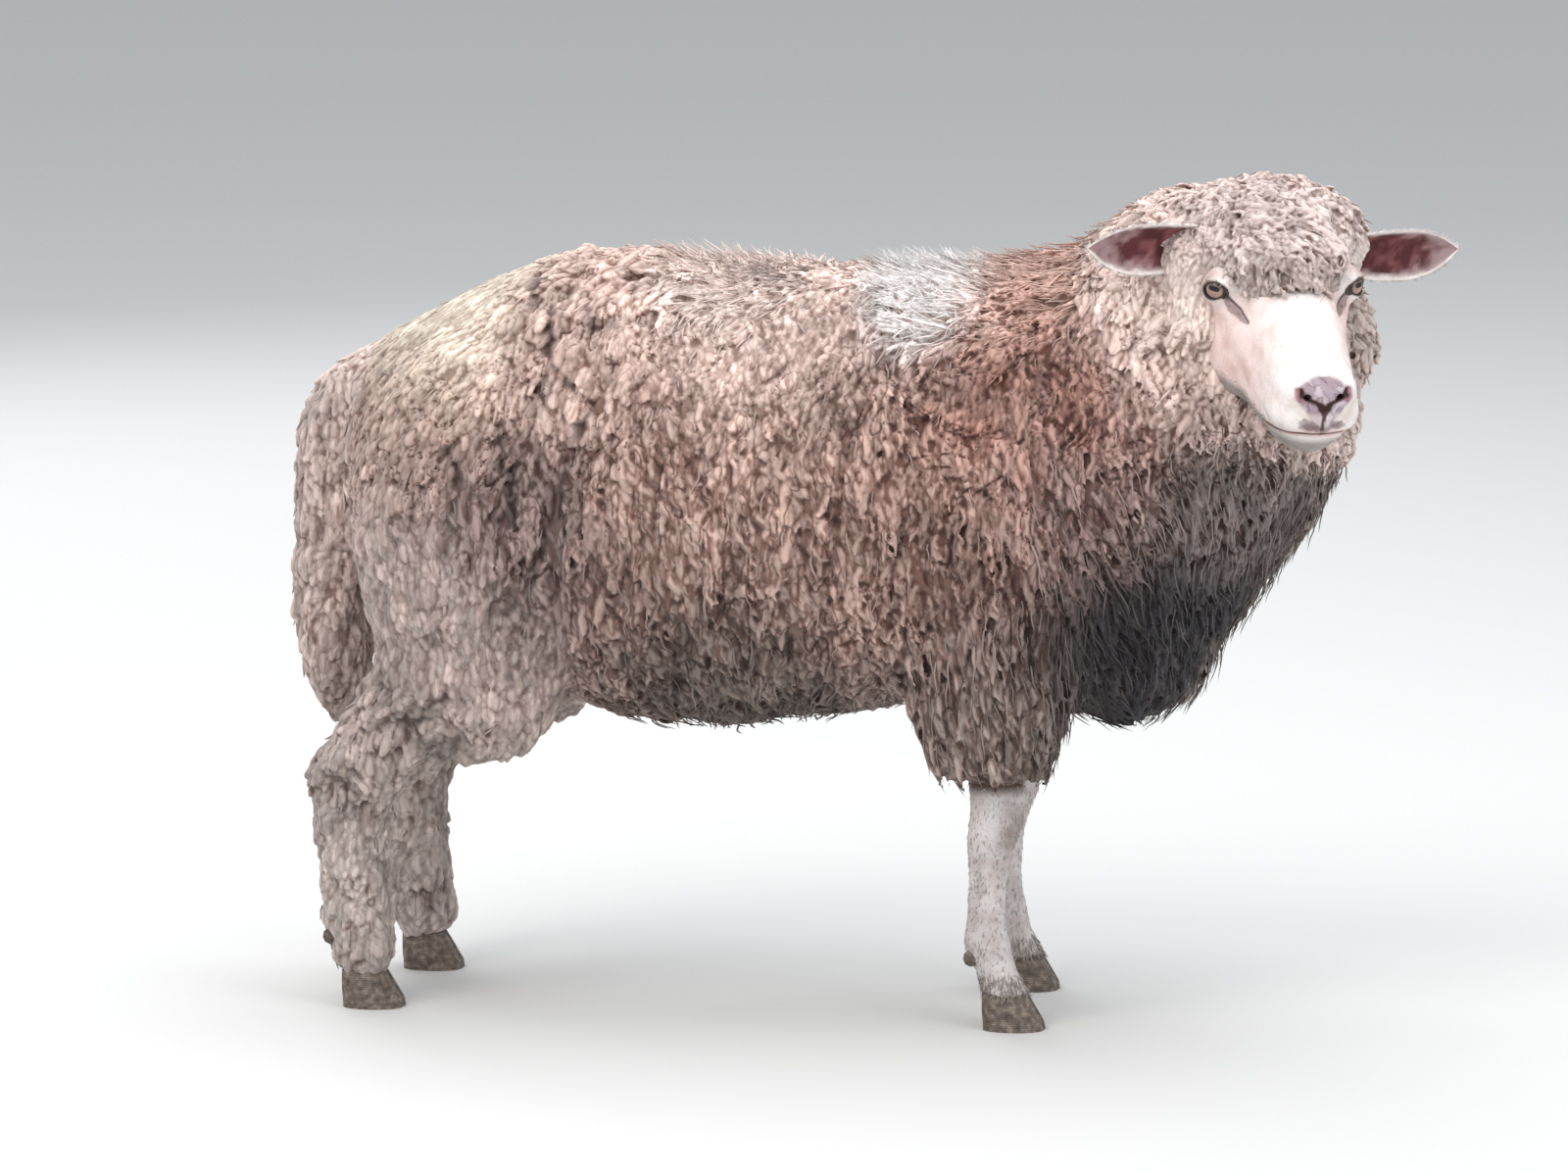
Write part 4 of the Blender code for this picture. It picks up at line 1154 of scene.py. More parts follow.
# areas of the head: place and flow in the head's own frame
headAreas = {
    "templeRight": locksOf((0.034, -0.078, 0.000), 0.027, (0.80, 0.68, 0.62), (-0.5, 0.1, -0.8),
                           (0.0040, 0.0110, 0.0004, 0.5, 0.0002, 0.2, 0.15, 0.0, 0.0052),
                           rope=0.0, wisps=0.0, relief=0.02, lie=0.0),
    "templeLeft": locksOf((0.030, 0.076, 0.000), 0.024, (0.74, 0.64, 0.60), (-0.5, 0.1, -0.8),
                          (0.0040, 0.0110, 0.0004, 0.5, 0.0002, 0.2, 0.15, 0.0, 0.0052),
                          rope=0.0, wisps=0.0, relief=0.02, lie=0.0),
    "topknot": locksOf((0.02, 0.0, 0.070), 0.055, (0.551, 0.454, 0.428), (0.70, 0.0, -0.5),
                       (0.0066, 0.0175, 0.0022, 1.3, 0.0028, 0.9, 0.85, 0.25, 0.0062),
                       relief=0.55, lie=0.0),
    "fringe": locksOf((0.085, 0.0, 0.050), 0.028, (0.359, 0.290, 0.269), (0.90, 0.0, -0.5),
                      (0.0068, 0.021, 0.0024, 1.3, 0.0032, 0.6, 0.50, 0.4, 0.0060),
                      wisps=0.35, relief=0.6, lie=0.05),
    "nape": locksOf((-0.08, 0.0, 0.030), 0.060, (0.554, 0.437, 0.395), (-0.7, 0.0, -0.2),
                    (0.0070, 0.020, 0.0020, 1.1, 0.0040, 0.5, 0.70, 0.3, 0.0068), wisps=0.4),
    "cheekRight": locksOf((-0.01, -0.09, -0.060), 0.060, (0.728, 0.577, 0.530), (0.05, 0.0, -1.0),
                          (0.0092, 0.022, 0.0022, 1.0, 0.0040, 0.95, 0.60, 0.3, 0.0078),
                          relief=0.6, lumps=0.002, lie=0.15),
    "cheekLeft": locksOf((-0.01, 0.08, -0.070), 0.055, (0.620, 0.520, 0.480), (0.05, 0.2, -1.0),
                         (0.0085, 0.024, 0.0024, 1.0, 0.0050, 0.6, 0.50, 0.3, 0.0078), lie=0.2),
    "jawWool": locksOf((0.02, -0.03, -0.140), 0.050, (0.621, 0.489, 0.443), (-0.1, 0.0, -1.0),
                       (0.0080, 0.024, 0.0022, 1.0, 0.0040, 0.7, 0.50, 0.3, 0.0076), lie=0.3),
}
tailArea = locksOf((0, 0), 1.0, (0.478, 0.382, 0.345), (-0.1, 0.0, -1.0),
                   (0.0090, 0.022, 0.0014, 0.9, 0.0022, 1.0, 0.55, 0.2, 0.0078),
                   lie=0.35, relief=0.7, lumps=0.002)


def coatStyle(points):
    # every area's say at each point, fading with distance
    x, y, z = bodyPlace(points)
    local = toHead(points)
    fields = lockFields + tuple(usual)
    total = np.full(len(points), 1e-12)
    out = {k: np.zeros(len(points)) for k in fields}
    out["colour"], out["flow"] = np.zeros((len(points), 3)), np.zeros((len(points), 3))
    onTail = step(-0.488, -0.497, x) * step(0.064, 0.056, np.abs(y)) * (z > 0.24)
    headward = step(0.20, 0.12, farFrom(local, headMiddle))
    rows = [(a, np.hypot(x - a["at"][0], z - a["at"][1]), (1 - onTail) * (1 - headward), False)
            for a in areas.values()]
    rows += [(a, farFrom(local, a["at"]), headward + 1e-4, True) for a in headAreas.values()]
    rows += [(tailArea, np.zeros(len(points)), onTail * 1e3, False)]
    for area, away, share, ownFrame in rows:
        weight = np.exp(-(away / area["reach"]) ** 2) * share + 1e-9 * share
        total += weight
        for k in fields:
            out[k] += weight * area[k]
        out["colour"] += weight[:, None] * np.array(area["colour"])
        way = np.tile(np.array(area["flow"], float), (len(points), 1))
        if ownFrame:
            way = way @ headTurn.T
        else:
            way[:, 1] *= np.sign(y)
        out["flow"] += weight[:, None] * way
    return {k: v / (total[:, None] if v.ndim > 1 else total) for k, v in out.items()}


breastRimLight = (0.30, 0.27, 0.235)
stainTint = (1.0, 0.84, 0.78)


def markings(points, colour):
    x, y, z = bodyPlace(points)
    tone = 1 + 0.14 * cloud(points, 0.07, 11) + 0.08 * cloud(points, 0.025, 12)
    colour = colour * tone[:, None]
    # painted rim light: a pale band along the breast's outline, seen from the side
    front = step(0.040, 0.015, np.abs(y)) * step(0.24, 0.30, x) * step(0.56, 0.46, z)
    colour = mixed(colour, np.array(breastRimLight), (0.75 * front)[:, None])
    # a brown stain over the shoulder, stronger in patches
    stain = np.exp(-((x - 0.165) / 0.10) ** 2 - ((z - 0.60) / 0.09) ** 2)
    stain = stain * step(-0.6, 0.6, cloud(points, 0.05, 15))
    return colour * mixed(np.ones(3), np.array(stainTint), (0.8 * stain)[:, None])


creases = (
    # lines where the fleece parts: side, depth, then (x, height) along each
    (-1, 0.6, ((0.052, 0.500), (0.046, 0.430), (0.040, 0.330))),
    (-1, 1.0, ((-0.322, 0.712), (-0.300, 0.680), (-0.288, 0.640), (-0.262, 0.600),
               (-0.245, 0.570))),
    (-1, 0.6, ((-0.288, 0.640), (-0.305, 0.610), (-0.300, 0.585))),
    (-1, 0.5, ((-0.300, 0.690), (-0.250, 0.668), (-0.190, 0.672))),
    (-1, 0.8, ((-0.330, 0.560), (-0.326, 0.500), (-0.332, 0.450))),
    (-1, 0.8, ((-0.385, 0.545), (-0.380, 0.500), (-0.386, 0.460))),
    (-1, 0.9, ((-0.268, 0.520), (-0.285, 0.460), (-0.335, 0.390))),
    (-1, 0.9, ((-0.455, 0.325), (-0.440, 0.285), (-0.418, 0.262), (-0.400, 0.235))),
    (-1, 0.9, ((-0.395, 0.315), (-0.420, 0.290), (-0.440, 0.285))),
    (-1, 0.8, ((-0.470, 0.250), (-0.445, 0.240), (-0.418, 0.262))),
    (-1, 0.7, ((-0.380, 0.275), (-0.395, 0.255), (-0.418, 0.262))),
    (1, 0.6, ((0.045, 0.520), (0.040, 0.360))),
    (1, 1.0, ((-0.330, 0.700), (-0.290, 0.630), (-0.255, 0.560))),
    (1, 0.8, ((-0.350, 0.560), (-0.345, 0.460))),
    (1, 0.9, ((-0.270, 0.500), (-0.330, 0.390))),
)


def creaseAt(points):
    # how near the closest parting is, and which way leads off it
    x, y, z = bodyPlace(points)
    x = x + 0.010 * cloud(points, 0.024, 71, 2)
    z = z + 0.010 * cloud(points, 0.024, 72, 2)
    flat = np.stack([x, np.zeros(len(x)), z], 1)
    best = np.full(len(points), 1.0)
    depth = np.zeros(len(points))
    away = np.zeros((len(points), 3))
    for side, deep, line in creases:
        for (xa, za), (xb, zb) in zip(line, line[1:]):
            a, b = np.array((xa, 0, za)), np.array((xb, 0, zb))
            h = np.clip((flat - a) @ (b - a) / ((b - a) @ (b - a)), 0, 1)
            off = flat - a - h[:, None] * (b - a)
            d = np.where(y * side > 0, np.linalg.norm(off, axis=1), 1.0)
            closer = d < best
            best = np.where(closer, d, best)
            depth = np.where(closer, deep, depth)
            away = np.where(closer[:, None], unit(off), away)
    return best, away, depth * step(0.040, 0.085, np.abs(y))


# where the locks are rooted

def sizesOf(points, tris):
    a, b, c = points[tris[:, 0]], points[tris[:, 1]], points[tris[:, 2]]
    return 0.5 * np.linalg.norm(np.cross(b - a, c - a), axis=1)


def drawnIn(points, normals, tris, gen):
    # a random place in each triangle, with its normal
    r1, r2 = np.sqrt(gen.random(len(tris))), gen.random(len(tris))
    shares = (1 - r1, r1 * (1 - r2), r1 * r2)
    p, n = (sum(values[tris[:, k]] * shares[k][:, None] for k in range(3))
            for values in (points, normals))
    return p, unit(n)


triesPerLock = 3.4


def scattered(points, normals, tris, layer, seed):
    # points spread over the outline, further apart along the lie than across it
    gen = np.random.default_rng(seed)
    middle = (points[tris[:, 0]] + points[tris[:, 1]] + points[tris[:, 2]]) / 3

    def gaps(style):
        gap = style["space"] * layer["space"]
        return gap, np.maximum(gap, layer["reach"] * style["length"])

    style = coatStyle(middle)
    gap, far = gaps(style)
    want = sizesOf(points, tris) / (gap * far) * triesPerLock
    want = want * np.clip(woolly(middle) + 0.001, 0, 1)
    if layer["wispy"]:
        want = want * np.clip(style["wisps"], 0.05, 4)
    p, n = drawnIn(points, normals, np.repeat(tris, gen.poisson(want), 0), gen)
    order = gen.permutation(len(p))
    p, n = p[order], n[order]
    keep = woolly(p)
    p, n = p[keep], n[keep]
    style = coatStyle(p)
    gap, far = gaps(style)
    if layer["wispy"]:
        gap = gap / np.sqrt(np.clip(style["wisps"], 0.05, 4))
        far = np.maximum(far, gap)
    flow = style["flow"] + style["spread"][:, None] * (
        0.34 * gen.normal(size=(len(p), 3)) + 0.85 * np.stack(
            [cloud(p, 0.026, 40 + k, 1) for k in range(3)], 1))
    flow = unit(flow - (flow * n).sum(1, keepdims=True) * n)
    cell = float(far.max())
    keys = np.floor(p / cell).astype(int)
    taken = {}
    keep = []
    rows = np.concatenate([p, flow, (gap * gap)[:, None], (far * far)[:, None],
                           (1 - (gap / far) ** 2)[:, None]], 1).tolist()
    around = [(i, j, k) for i in (-1, 0, 1) for j in (-1, 0, 1) for k in (-1, 0, 1)]
    for i, ((px, py, pz, fx, fy, fz, near2, far2, squash), (kx, ky, kz)) in enumerate(
            zip(rows, keys.tolist())):
        free = True
        for ix, iy, iz in around:
            for qx, qy, qz in taken.get((kx + ix, ky + iy, kz + iz), ()):
                dx, dy, dz = px - qx, py - qy, pz - qz
                d2 = dx * dx + dy * dy + dz * dz
                if d2 < far2:
                    along = dx * fx + dy * fy + dz * fz
                    if d2 - along * along * squash < near2:
                        free = False
                        break
            if not free:
                break
        if free:
            taken.setdefault((kx, ky, kz), []).append((px, py, pz))
            keep.append(i)
    return p[keep], n[keep], flow[keep]


# locks that are felted together, and the loose wisps over them
layers = {
    "main": {"rings": (0.0, 0.30, 0.46, 0.61, 0.76, 0.90, 1.0), "sides": 4, "flat": 0.62,
             "width": 1.04, "length": 1.0, "down": 0.0028, "space": 0.66, "reach": 0.33,
             "wave": 1.1, "lift": 1.0, "shade": 1.0, "loose": 0.0, "wispy": False},
    "wisps": {"rings": (0.30, 0.50, 0.68, 0.85, 1.0), "sides": 3, "flat": 0.80, "width": 0.27,
              "length": 1.00, "down": 0.0010, "space": 0.95, "reach": 0.30, "wave": 0.55,
              "lift": 1.2, "shade": 1.06, "loose": 0.0020, "wispy": True},
}
clumps = {"space": 0.024, "reach": 0.017, "height": 0.005, "lean": 0.7}
ropes = {"across": 0.015, "height": 0.0026}
partings = {"width": 0.0065, "depth": 0.0032, "shoulder": (0.0014, 0.016, 0.008),
            "open": (0.004, 0.012)}
# the fine lines' tint is painted shade in their creases
fineLines = {"across": 0.0105, "width": 0.11, "depth": 0.0017, "tint": (0.42, 0.32, 0.29)}
# painted shade: how far the buried undersides and edges of the locks, and the felt's hollows, are
# darkened
lockShade = np.array((0.42, 0.305, 0.265))    # how far a lock's buried edges fall in colour
bleach = np.array((1, 0.86, 0.80))
felt = {
    "body": (0.0020, 0.74), "head": (0.0014, 0.62),      # voxel, and the share of faces kept
    "ease": 1,
    "core": 0.0030,             # how deep the solid middle lies under the outline
    "crease": 0.0028,           # and how much deeper in the partings
    "bareHead": 0.05, "bareLeg": 0.013, "underSkin": 0.006,
}


def sweep(path, across, over, girth, sides, flat, roll=0.0):
    # closed tapering tubes along many paths at once: points, quads, triangles, base corners
    n, m = path.shape[:2]
    turn = np.arange(sides) * 2 * math.pi / sides + roll
    ring = (np.cos(turn)[None, None, :, None] * across[:, :-1, None, :]
            + flat * np.sin(turn)[None, None, :, None] * over[:, :-1, None, :])
    ring = path[:, :-1, None, :] + ring * girth[:, :-1, None, None]
    verts = np.concatenate([ring.reshape(n, (m - 1) * sides, 3), path[:, -1:]], 1)
    k = np.arange(sides)
    nxt = (k + 1) % sides
    quad = np.concatenate([
        np.stack([r * sides + k, r * sides + nxt, (r + 1) * sides + nxt, (r + 1) * sides + k], 1)
        for r in range(m - 2)
    ])
    tip = np.stack([(m - 2) * sides + k, (m - 2) * sides + nxt,
                    np.full(sides, (m - 1) * sides)], 1)
    return verts, quad, tip, k[::-1][None, :]


def locks(roots, normals, flow, style, depth, layer, gen):
    n = len(roots)
    t = np.array(layer["rings"])
    tt = t[None, :, None]
    one = (slice(None), None, None)
    bulk = np.exp(0.22 * cloud(roots, 0.022, 61, 1) + 0.16 * gen.normal(size=n))
    side = np.cross(normals, flow)
    length = style["length"] * gen.uniform(0.80, 1.25, n) * bulk * layer["length"]
    width = 0.5 * style["width"] * bulk * layer["width"]
    turns = style["turns"] * gen.uniform(0.8, 1.25, n)
    wave = style["wave"] * gen.uniform(0.5, 1.5, n) * layer["wave"]
    lift = style["lift"] * gen.uniform(0.0, 1.5, n) * layer["lift"]
    lift = lift + layer["loose"] * gen.random(n) ** 2
    phase = gen.uniform(-1.4, 1.4, n) + 2.5 * cloud(roots, 0.045, 50, 1)
    # each lock leans towards the middle of its clump
    clumpAt = thinned(roots, clumps["space"], 5)
    tree = treeOf(clumpAt)
    lean = clumpAt[np.array([tree.find(p)[1] for p in roots])] - roots
    lean -= (lean * normals).sum(1, keepdims=True) * normals
    crown = np.clip(1 - (np.linalg.norm(lean, axis=1) / clumps["reach"]) ** 2, -0.6, 1)
    crown = crown * style["clump"] * clumps["height"]
    # ropes that run with the fleece, with shallow partings between them
    way = unit(style["flow"])
    lateral = roots - 0.72 * (roots * way).sum(1)[:, None] * way
    rope = cloud(lateral, ropes["across"], 60, 2)
    crown += ropes["height"] * rope * style["rope"] + 0.0009 * gen.normal(size=n)
    crease, away, deep = creaseAt(roots)
    sink = deep * np.exp(-(crease / partings["width"]) ** 2)
    raised, beside, wide = partings["shoulder"]
    shift, reach = partings["open"]
    away = away - (away * normals).sum(1, keepdims=True) * normals
    crown *= mixed(0.4, 1.0, style["relief"])
    crown = crown - edgeRoll(roots) - (0 if layer["wispy"] else style["sink"])
    crown += style["lumps"] * cloud(roots, 0.019, 81, 2)
    crown = (crown - partings["depth"] * sink
             + raised * deep * np.exp(-((crease - beside) / wide) ** 2))
    rise = np.where(tt < 0.42, 1 - (1 - tt / 0.42) ** 2, 1.0)
    bend = np.minimum(1, tt / 0.35)
    spin = 2 * math.pi * turns[one] * tt + phase[one]
    path = (
        roots[:, None, :]
        + flow[:, None, :] * length[one] * (tt - 0.62)
        + normals[:, None, :] * (
            -depth[one] * (1 - rise) - layer["down"]
            + lift[one] * tt ** 2 + crown[one] * bend + 0.45 * wave[one] * np.cos(spin) * bend)
        + side[:, None, :] * wave[one] * np.sin(spin) * bend
        + lean[:, None, :] * style["clump"][one] * clumps["lean"] * tt ** 1.5
        + away[:, None, :] * (shift * deep * np.exp(-(crease / reach) ** 2))[one] * tt
    )
    slim = np.interp(t, (0, 0.3, 0.5, 0.76, 0.9, 1), (0.80, 1.0, 1.0, 0.72, 0.40, 0))
    plump = np.interp(t, (0, 0.3, 0.5, 0.76, 0.9, 1), (0.72, 0.92, 1.06, 1.02, 0.76, 0))
    girth = mixed(slim[None, :], plump[None, :], style["round"][:, None]) * width[:, None]
    ahead = unit(np.gradient(path, axis=1))
    across = unit(side[:, None, :] - (side[:, None, :] * ahead).sum(-1, keepdims=True) * ahead)
    over = np.cross(ahead, across)
    over = np.where((over * normals[:, None, :]).sum(-1, keepdims=True) < 0, -over, over)
    sides = layer["sides"]
    roll = 0.0 if sides == 4 else math.pi / 6
    # painted light and shade: lighter where a rope stands higher, darker in the partings; the rest
    # is tone that differs at random
    tone = gen.uniform(0.85, 1.15, n) * (1 + 0.12 * style["rope"] * rope) * (1 - 0.40 * sink)
    tone = tone * (1 + 0.14 * cloud(roots, 0.012, 63, 1))
    colour = markings(roots, style["colour"]) * (tone * layer["shade"])[:, None]
    bleached = (0.11 if layer["wispy"] else 0.05) * (gen.random(n) ** 3)[:, None]
    colour = colour + bleached * bleach
    return sweep(path, across, over, girth, sides, layer["flat"], roll) + (
        colour, t, sides, roll, roots)


wholeTurn = 6.2832


def placesOf(t, sides):
    # for each point of one lock: how far along it is, and how far round
    return (np.concatenate([np.repeat(t[:-1], sides), [1.0]]),
            np.concatenate([np.tile(np.arange(sides) / sides, len(t) - 1), [0.25]]))


def strandsOf(along, around, count, gen):
    # where the fibres of each lock are taken from, so that no two locks are alike
    turn = around * wholeTurn
    strand = np.stack([np.cos(turn), np.sin(turn), along * 7.0], 1)
    return np.tile(strand, (count, 1)) + np.repeat(gen.uniform(0, 60, (count, 3)), len(along), 0)


def joined(name, parts, gen, shaded):
    # all the locks of one piece as one mesh, with its colours, painted shade and light, and its
    # patches
    points, quads, tris, colours, alongs, strands, patches, owners = ([] for _ in range(8))
    start = first = 0
    for verts, quad, tip, foot, colour, t, sides, roll, roots in parts:
        n, per = verts.shape[:2]
        base = start + (np.arange(n) * per)[:, None, None]
        quads.append((quad[None] + base).reshape(-1, 4))
        tris.append((tip[None] + base).reshape(-1, 3))
        (quads if sides == 4 else tris).append((foot[None] + base).reshape(-1, sides))
        points.append(verts.reshape(-1, 3))
        alongOf, around = placesOf(t, sides)
        # painted shade and highlight: each lock darker on its underside and edges, a little lighter
        # along its top; shaded says how much
        top = 0.5 + 0.5 * np.sin(around * wholeTurn + roll)
        dark = np.where((top < 0.5)[:, None], lockShade,
                        mixed(1 - 0.45 * (1 - lockShade), 1.06, ((top - 0.5) * 2)[:, None]))
        dark = mixed(1.0, dark, shaded)
        colours.append((colour[:, None, :] * dark[None]).reshape(-1, 3))
        # how far along each point lies, which the wool's finish turns into painted shade at the
        # root
        alongs.append(mixed(0.8, np.tile(alongOf, n), shaded))
        strands.append(strandsOf(alongOf, around, n, gen))
        patches.append(np.tile(np.stack([alongOf - 0.5, around - 0.5], 1) * 0.003, (n, 1)))
        owners.append(np.repeat(np.arange(n) + first, per))
        start += n * per
        first += n
    obj = addMesh(name, np.concatenate(points), [np.concatenate(quads), np.concatenate(tris)])
    paint(obj, "coat", np.concatenate(colours))
    paint(obj, "along", np.concatenate(alongs))
    paint(obj, "strand", np.concatenate(strands))
    roots = np.concatenate([part[-1] for part in parts])
    uv = unwrapped(name, roots, roots.min(0), roots.max(0))
    bakeMap(obj, uv[np.concatenate(owners)] + np.concatenate(patches))
    return obj


def thinned(points, space, seed):
    # a thinned choice of the points, about space apart
    order = np.random.default_rng(seed).permutation(len(points))
    keys = {}
    chosen = []
    for i in order.tolist():
        key = tuple(np.floor(points[i] / space).astype(int).tolist())
        if key not in keys:
            keys[key] = i
            chosen.append(i)
    return points[chosen]


def unwrapped(name, points, low, high):
    # an unwrap of the piece's own shape: along its axis and round it
    if "head" in name or "face" in name:
        points, low, high, axis = toHead(points), np.full(3, -0.17), np.full(3, 0.17), 0
    else:
        axis = 2 if "leg" in name or "tail" in name else 0
    size = high - low
    b, c = [k for k in range(3) if k != axis]
    q = points - 0.5 * (low + high)
    polar = np.arccos(np.clip(-q[:, axis] / np.maximum(np.linalg.norm(q, axis=1), 1e-6), -1, 1))
    u = 0.5 * (points[:, axis] - low[axis]) / size[axis] + 0.5 * polar / math.pi
    return np.stack([u, np.arctan2(q[:, c], q[:, b]) / (2 * math.pi) + 0.5], 1) * 0.98 + 0.01


def bakeMap(obj, uv):
    # in each corner, with faces across the seam kept whole
    starts = fetched(obj.data.polygons, "loop_start", 1, np.int32)
    uv = uv[fetched(obj.data.loops, "vertex_index", 1, np.int32)]
    top = np.repeat(np.maximum.reduceat(uv[:, 1], starts), np.diff(np.append(starts, len(uv))))
    uv[:, 1] = np.where(top - uv[:, 1] > 0.5, np.minimum(uv[:, 1] + 0.98, 1.0), uv[:, 1])
    layer = obj.data.uv_layers.new(name="OFBake")
    layer.data.foreach_set("uv", uv.astype(np.float32).ravel())


def woolly(points):
    # where locks grow: not on the bare face nor on the lower forelegs
    x, _, z = bodyPlace(points)
    local = toHead(points)
    bare = bareShare(local) > 0.5
    ahead = (local[:, 0] > 0.10) & (farFrom(local, muzzleMiddle) < 0.085)
    # the ruff's own side, facing the cheek, is wool as well
    bare[bare] = ~((overSkin(points[bare]) > 0.006) & (local[bare, 2] < 0.012)
                   & (local[bare, 0] < 0.112))
    shankPart = (x > 0) & (z < 0.238)
    hoof = z < np.where(x < 0, 0.030, 0.042)
    return ~(bare | ahead | shankPart | hoof)


woolFinish = woolMaterial()
rooted = {}
for word, seed in (("main", 21), ("wisps", 41)):
    rooted[word] = scattered(outline, outlineNormals, outlineTris, layers[word], seed)
    print("roots of", word, len(rooted[word][0]))


bodyParts = {"hindquarters": (-9, -0.27), "loin": (-0.27, -0.12), "ribs": (-0.12, 0.03),
             "shoulder": (0.03, 0.17), "neck": (0.17, 9)}


def coatPieces(points):
    x, y, z = bodyPlace(points)
    onHead = farFrom(toHead(points), headMiddle) < 0.155
    tail = ((x < -0.490) & (np.abs(y) < 0.062) & (z > 0.30) | (x < -0.50) & (np.abs(y) < 0.055)
            & (z > 0.24)) & ~onHead
    hindLegs = (x < -0.28) & (z < 0.30) & ~tail
    rest = ~(onHead | hindLegs | tail)
    groups = {"wool_tail": tail}
    for word, side in (("right", -1), ("left", 1)):
        groups[f"wool_head_{word}"] = onHead & (toHead(points)[:, 1] * side > 0)
        groups[f"wool_hind_leg_{word}"] = hindLegs & (y * side > 0)
        for part, (low, high) in bodyParts.items():
            groups[f"wool_{part}_{word}"] = rest & (y * side > 0) & (x >= low) & (x < high)
    return groups


def roughWool(part):
    # the solid middle and every lock, still apart, with what each lends to the felt
    style = coatStyle(outline)
    thin = felt["core"] * mixed(0.45, 1.0, style["relief"]) + style["sink"] + edgeRoll(outline)
    thin -= style["lumps"] * cloud(outline, 0.019, 81, 2)
    crease, _, deep = creaseAt(outline)
    thin += felt["crease"] * deep * np.exp(-(crease / partings["width"]) ** 2)
    bare = np.where(outline[:, 2] > 0.4, felt["bareHead"], felt["bareLeg"])
    down = np.where(woolly(outline), thin, bare)
    down = np.minimum(down, overSkin(outline) + felt["underSkin"])
    core = relaxed(outline - outlineNormals * down[:, None], outlineQuads, 2, 0.5, down > 0)
    verts, quad, tip, foot, colour, t, sides = part[:7]
    n, per = verts.shape[:2]
    base = len(core) + (np.arange(n) * per)[:, None, None]
    along, around = placesOf(t, sides)
    ridge = np.sin(around * wholeTurn)
    ridge[-1] = 0.5
    quads = [outlineQuads, (quad[None] + base).reshape(-1, 4), (foot[None] + base).reshape(-1, 4)]
    rough = addMesh("rough", np.concatenate([core, verts.reshape(-1, 3)]),
                    [np.concatenate(quads), (tip[None] + base).reshape(-1, 3)])
    for field, ofCore, ofLocks in (
        ("coat", markings(core, coatStyle(core)["colour"]), np.repeat(colour, per, 0)),
        ("ridge", np.full(len(core), -1.0), np.tile(ridge, n)),
        ("along", np.full(len(core), 0.3), np.tile(along, n)),
        ("strand", core * 300, strandsOf(along, around, n, np.random.default_rng(9))),
    ):
        paint(rough, field, np.concatenate([ofCore, ofLocks]))
    return rough


lentFields = {"coat": "FLOAT_COLOR", "ridge": "FLOAT", "along": "FLOAT", "strand": "FLOAT_VECTOR"}


def lendNodes(source):
    # gives each felt point what the nearest lock has there
    group = bpy.data.node_groups.new("lend", "GeometryNodeTree")
    for way in ("INPUT", "OUTPUT"):
        group.interface.new_socket("Geometry", in_out=way, socket_type="NodeSocketGeometry")
    nodes, links = group.nodes, group.links
    flow = nodes.new("NodeGroupInput").outputs[0]
    info = nodes.new("GeometryNodeObjectInfo")
    info.inputs["Object"].default_value = source

    def live(sockets, name):
        return next(socket for socket in sockets if socket.enabled and socket.name == name)

    for name, kind in lentFields.items():
        named = nodes.new("GeometryNodeInputNamedAttribute")
        named.data_type = kind
        named.inputs["Name"].default_value = name
        near = nodes.new("GeometryNodeSampleNearestSurface")
        near.data_type = kind
        links.new(info.outputs["Geometry"], near.inputs["Mesh"])
        links.new(live(named.outputs, "Attribute"), live(near.inputs, "Value"))
        store = nodes.new("GeometryNodeStoreNamedAttribute")
        store.data_type = kind
        store.inputs["Name"].default_value = name
        links.new(flow, store.inputs["Geometry"])
        links.new(live(near.outputs, "Value"), live(store.inputs, "Value"))
        flow = store.outputs["Geometry"]
    links.new(flow, nodes.new("NodeGroupOutput").inputs[0])
    return group


def felted(rough, group, voxel, keptShare):
    soft = blended("soft", rough.data, voxel, felt["ease"])
    soft.modifiers.new("thin", "DECIMATE").ratio = keptShare
    soft.modifiers.new("lend", "NODES").node_group = group
    mesh = withModifiers(soft)
    shapes = {"FLOAT_COLOR": ("color", 4), "FLOAT": ("value", 1), "FLOAT_VECTOR": ("vector", 3)}
    lent = {name: fetched(mesh.attributes[name].data, *shapes[kind])
            for name, kind in lentFields.items()}
    return arraysOf(mesh) + (lent,)


def parted(points, normals):
    # fine wavy creases that run down the lie of the wool: sunk points, and how deep each is
    style = coatStyle(points)
    way = unit(style["flow"])
    lateral = points - 0.80 * (points * way).sum(1)[:, None] * way
    line = np.exp(-(cloud(lateral, fineLines["across"], 91, 1) / fineLines["width"]) ** 2)
    line = line * step(-0.6, 0.1, cloud(points, 0.02, 92, 1))
    line = line * np.clip(style["rope"], 0, 1.6) * mixed(0.5, 1.0, style["relief"])
    sunk = points - normals * (fineLines["depth"] * line)[:, None]
    return sunk, line, style["relief"], style["lie"]


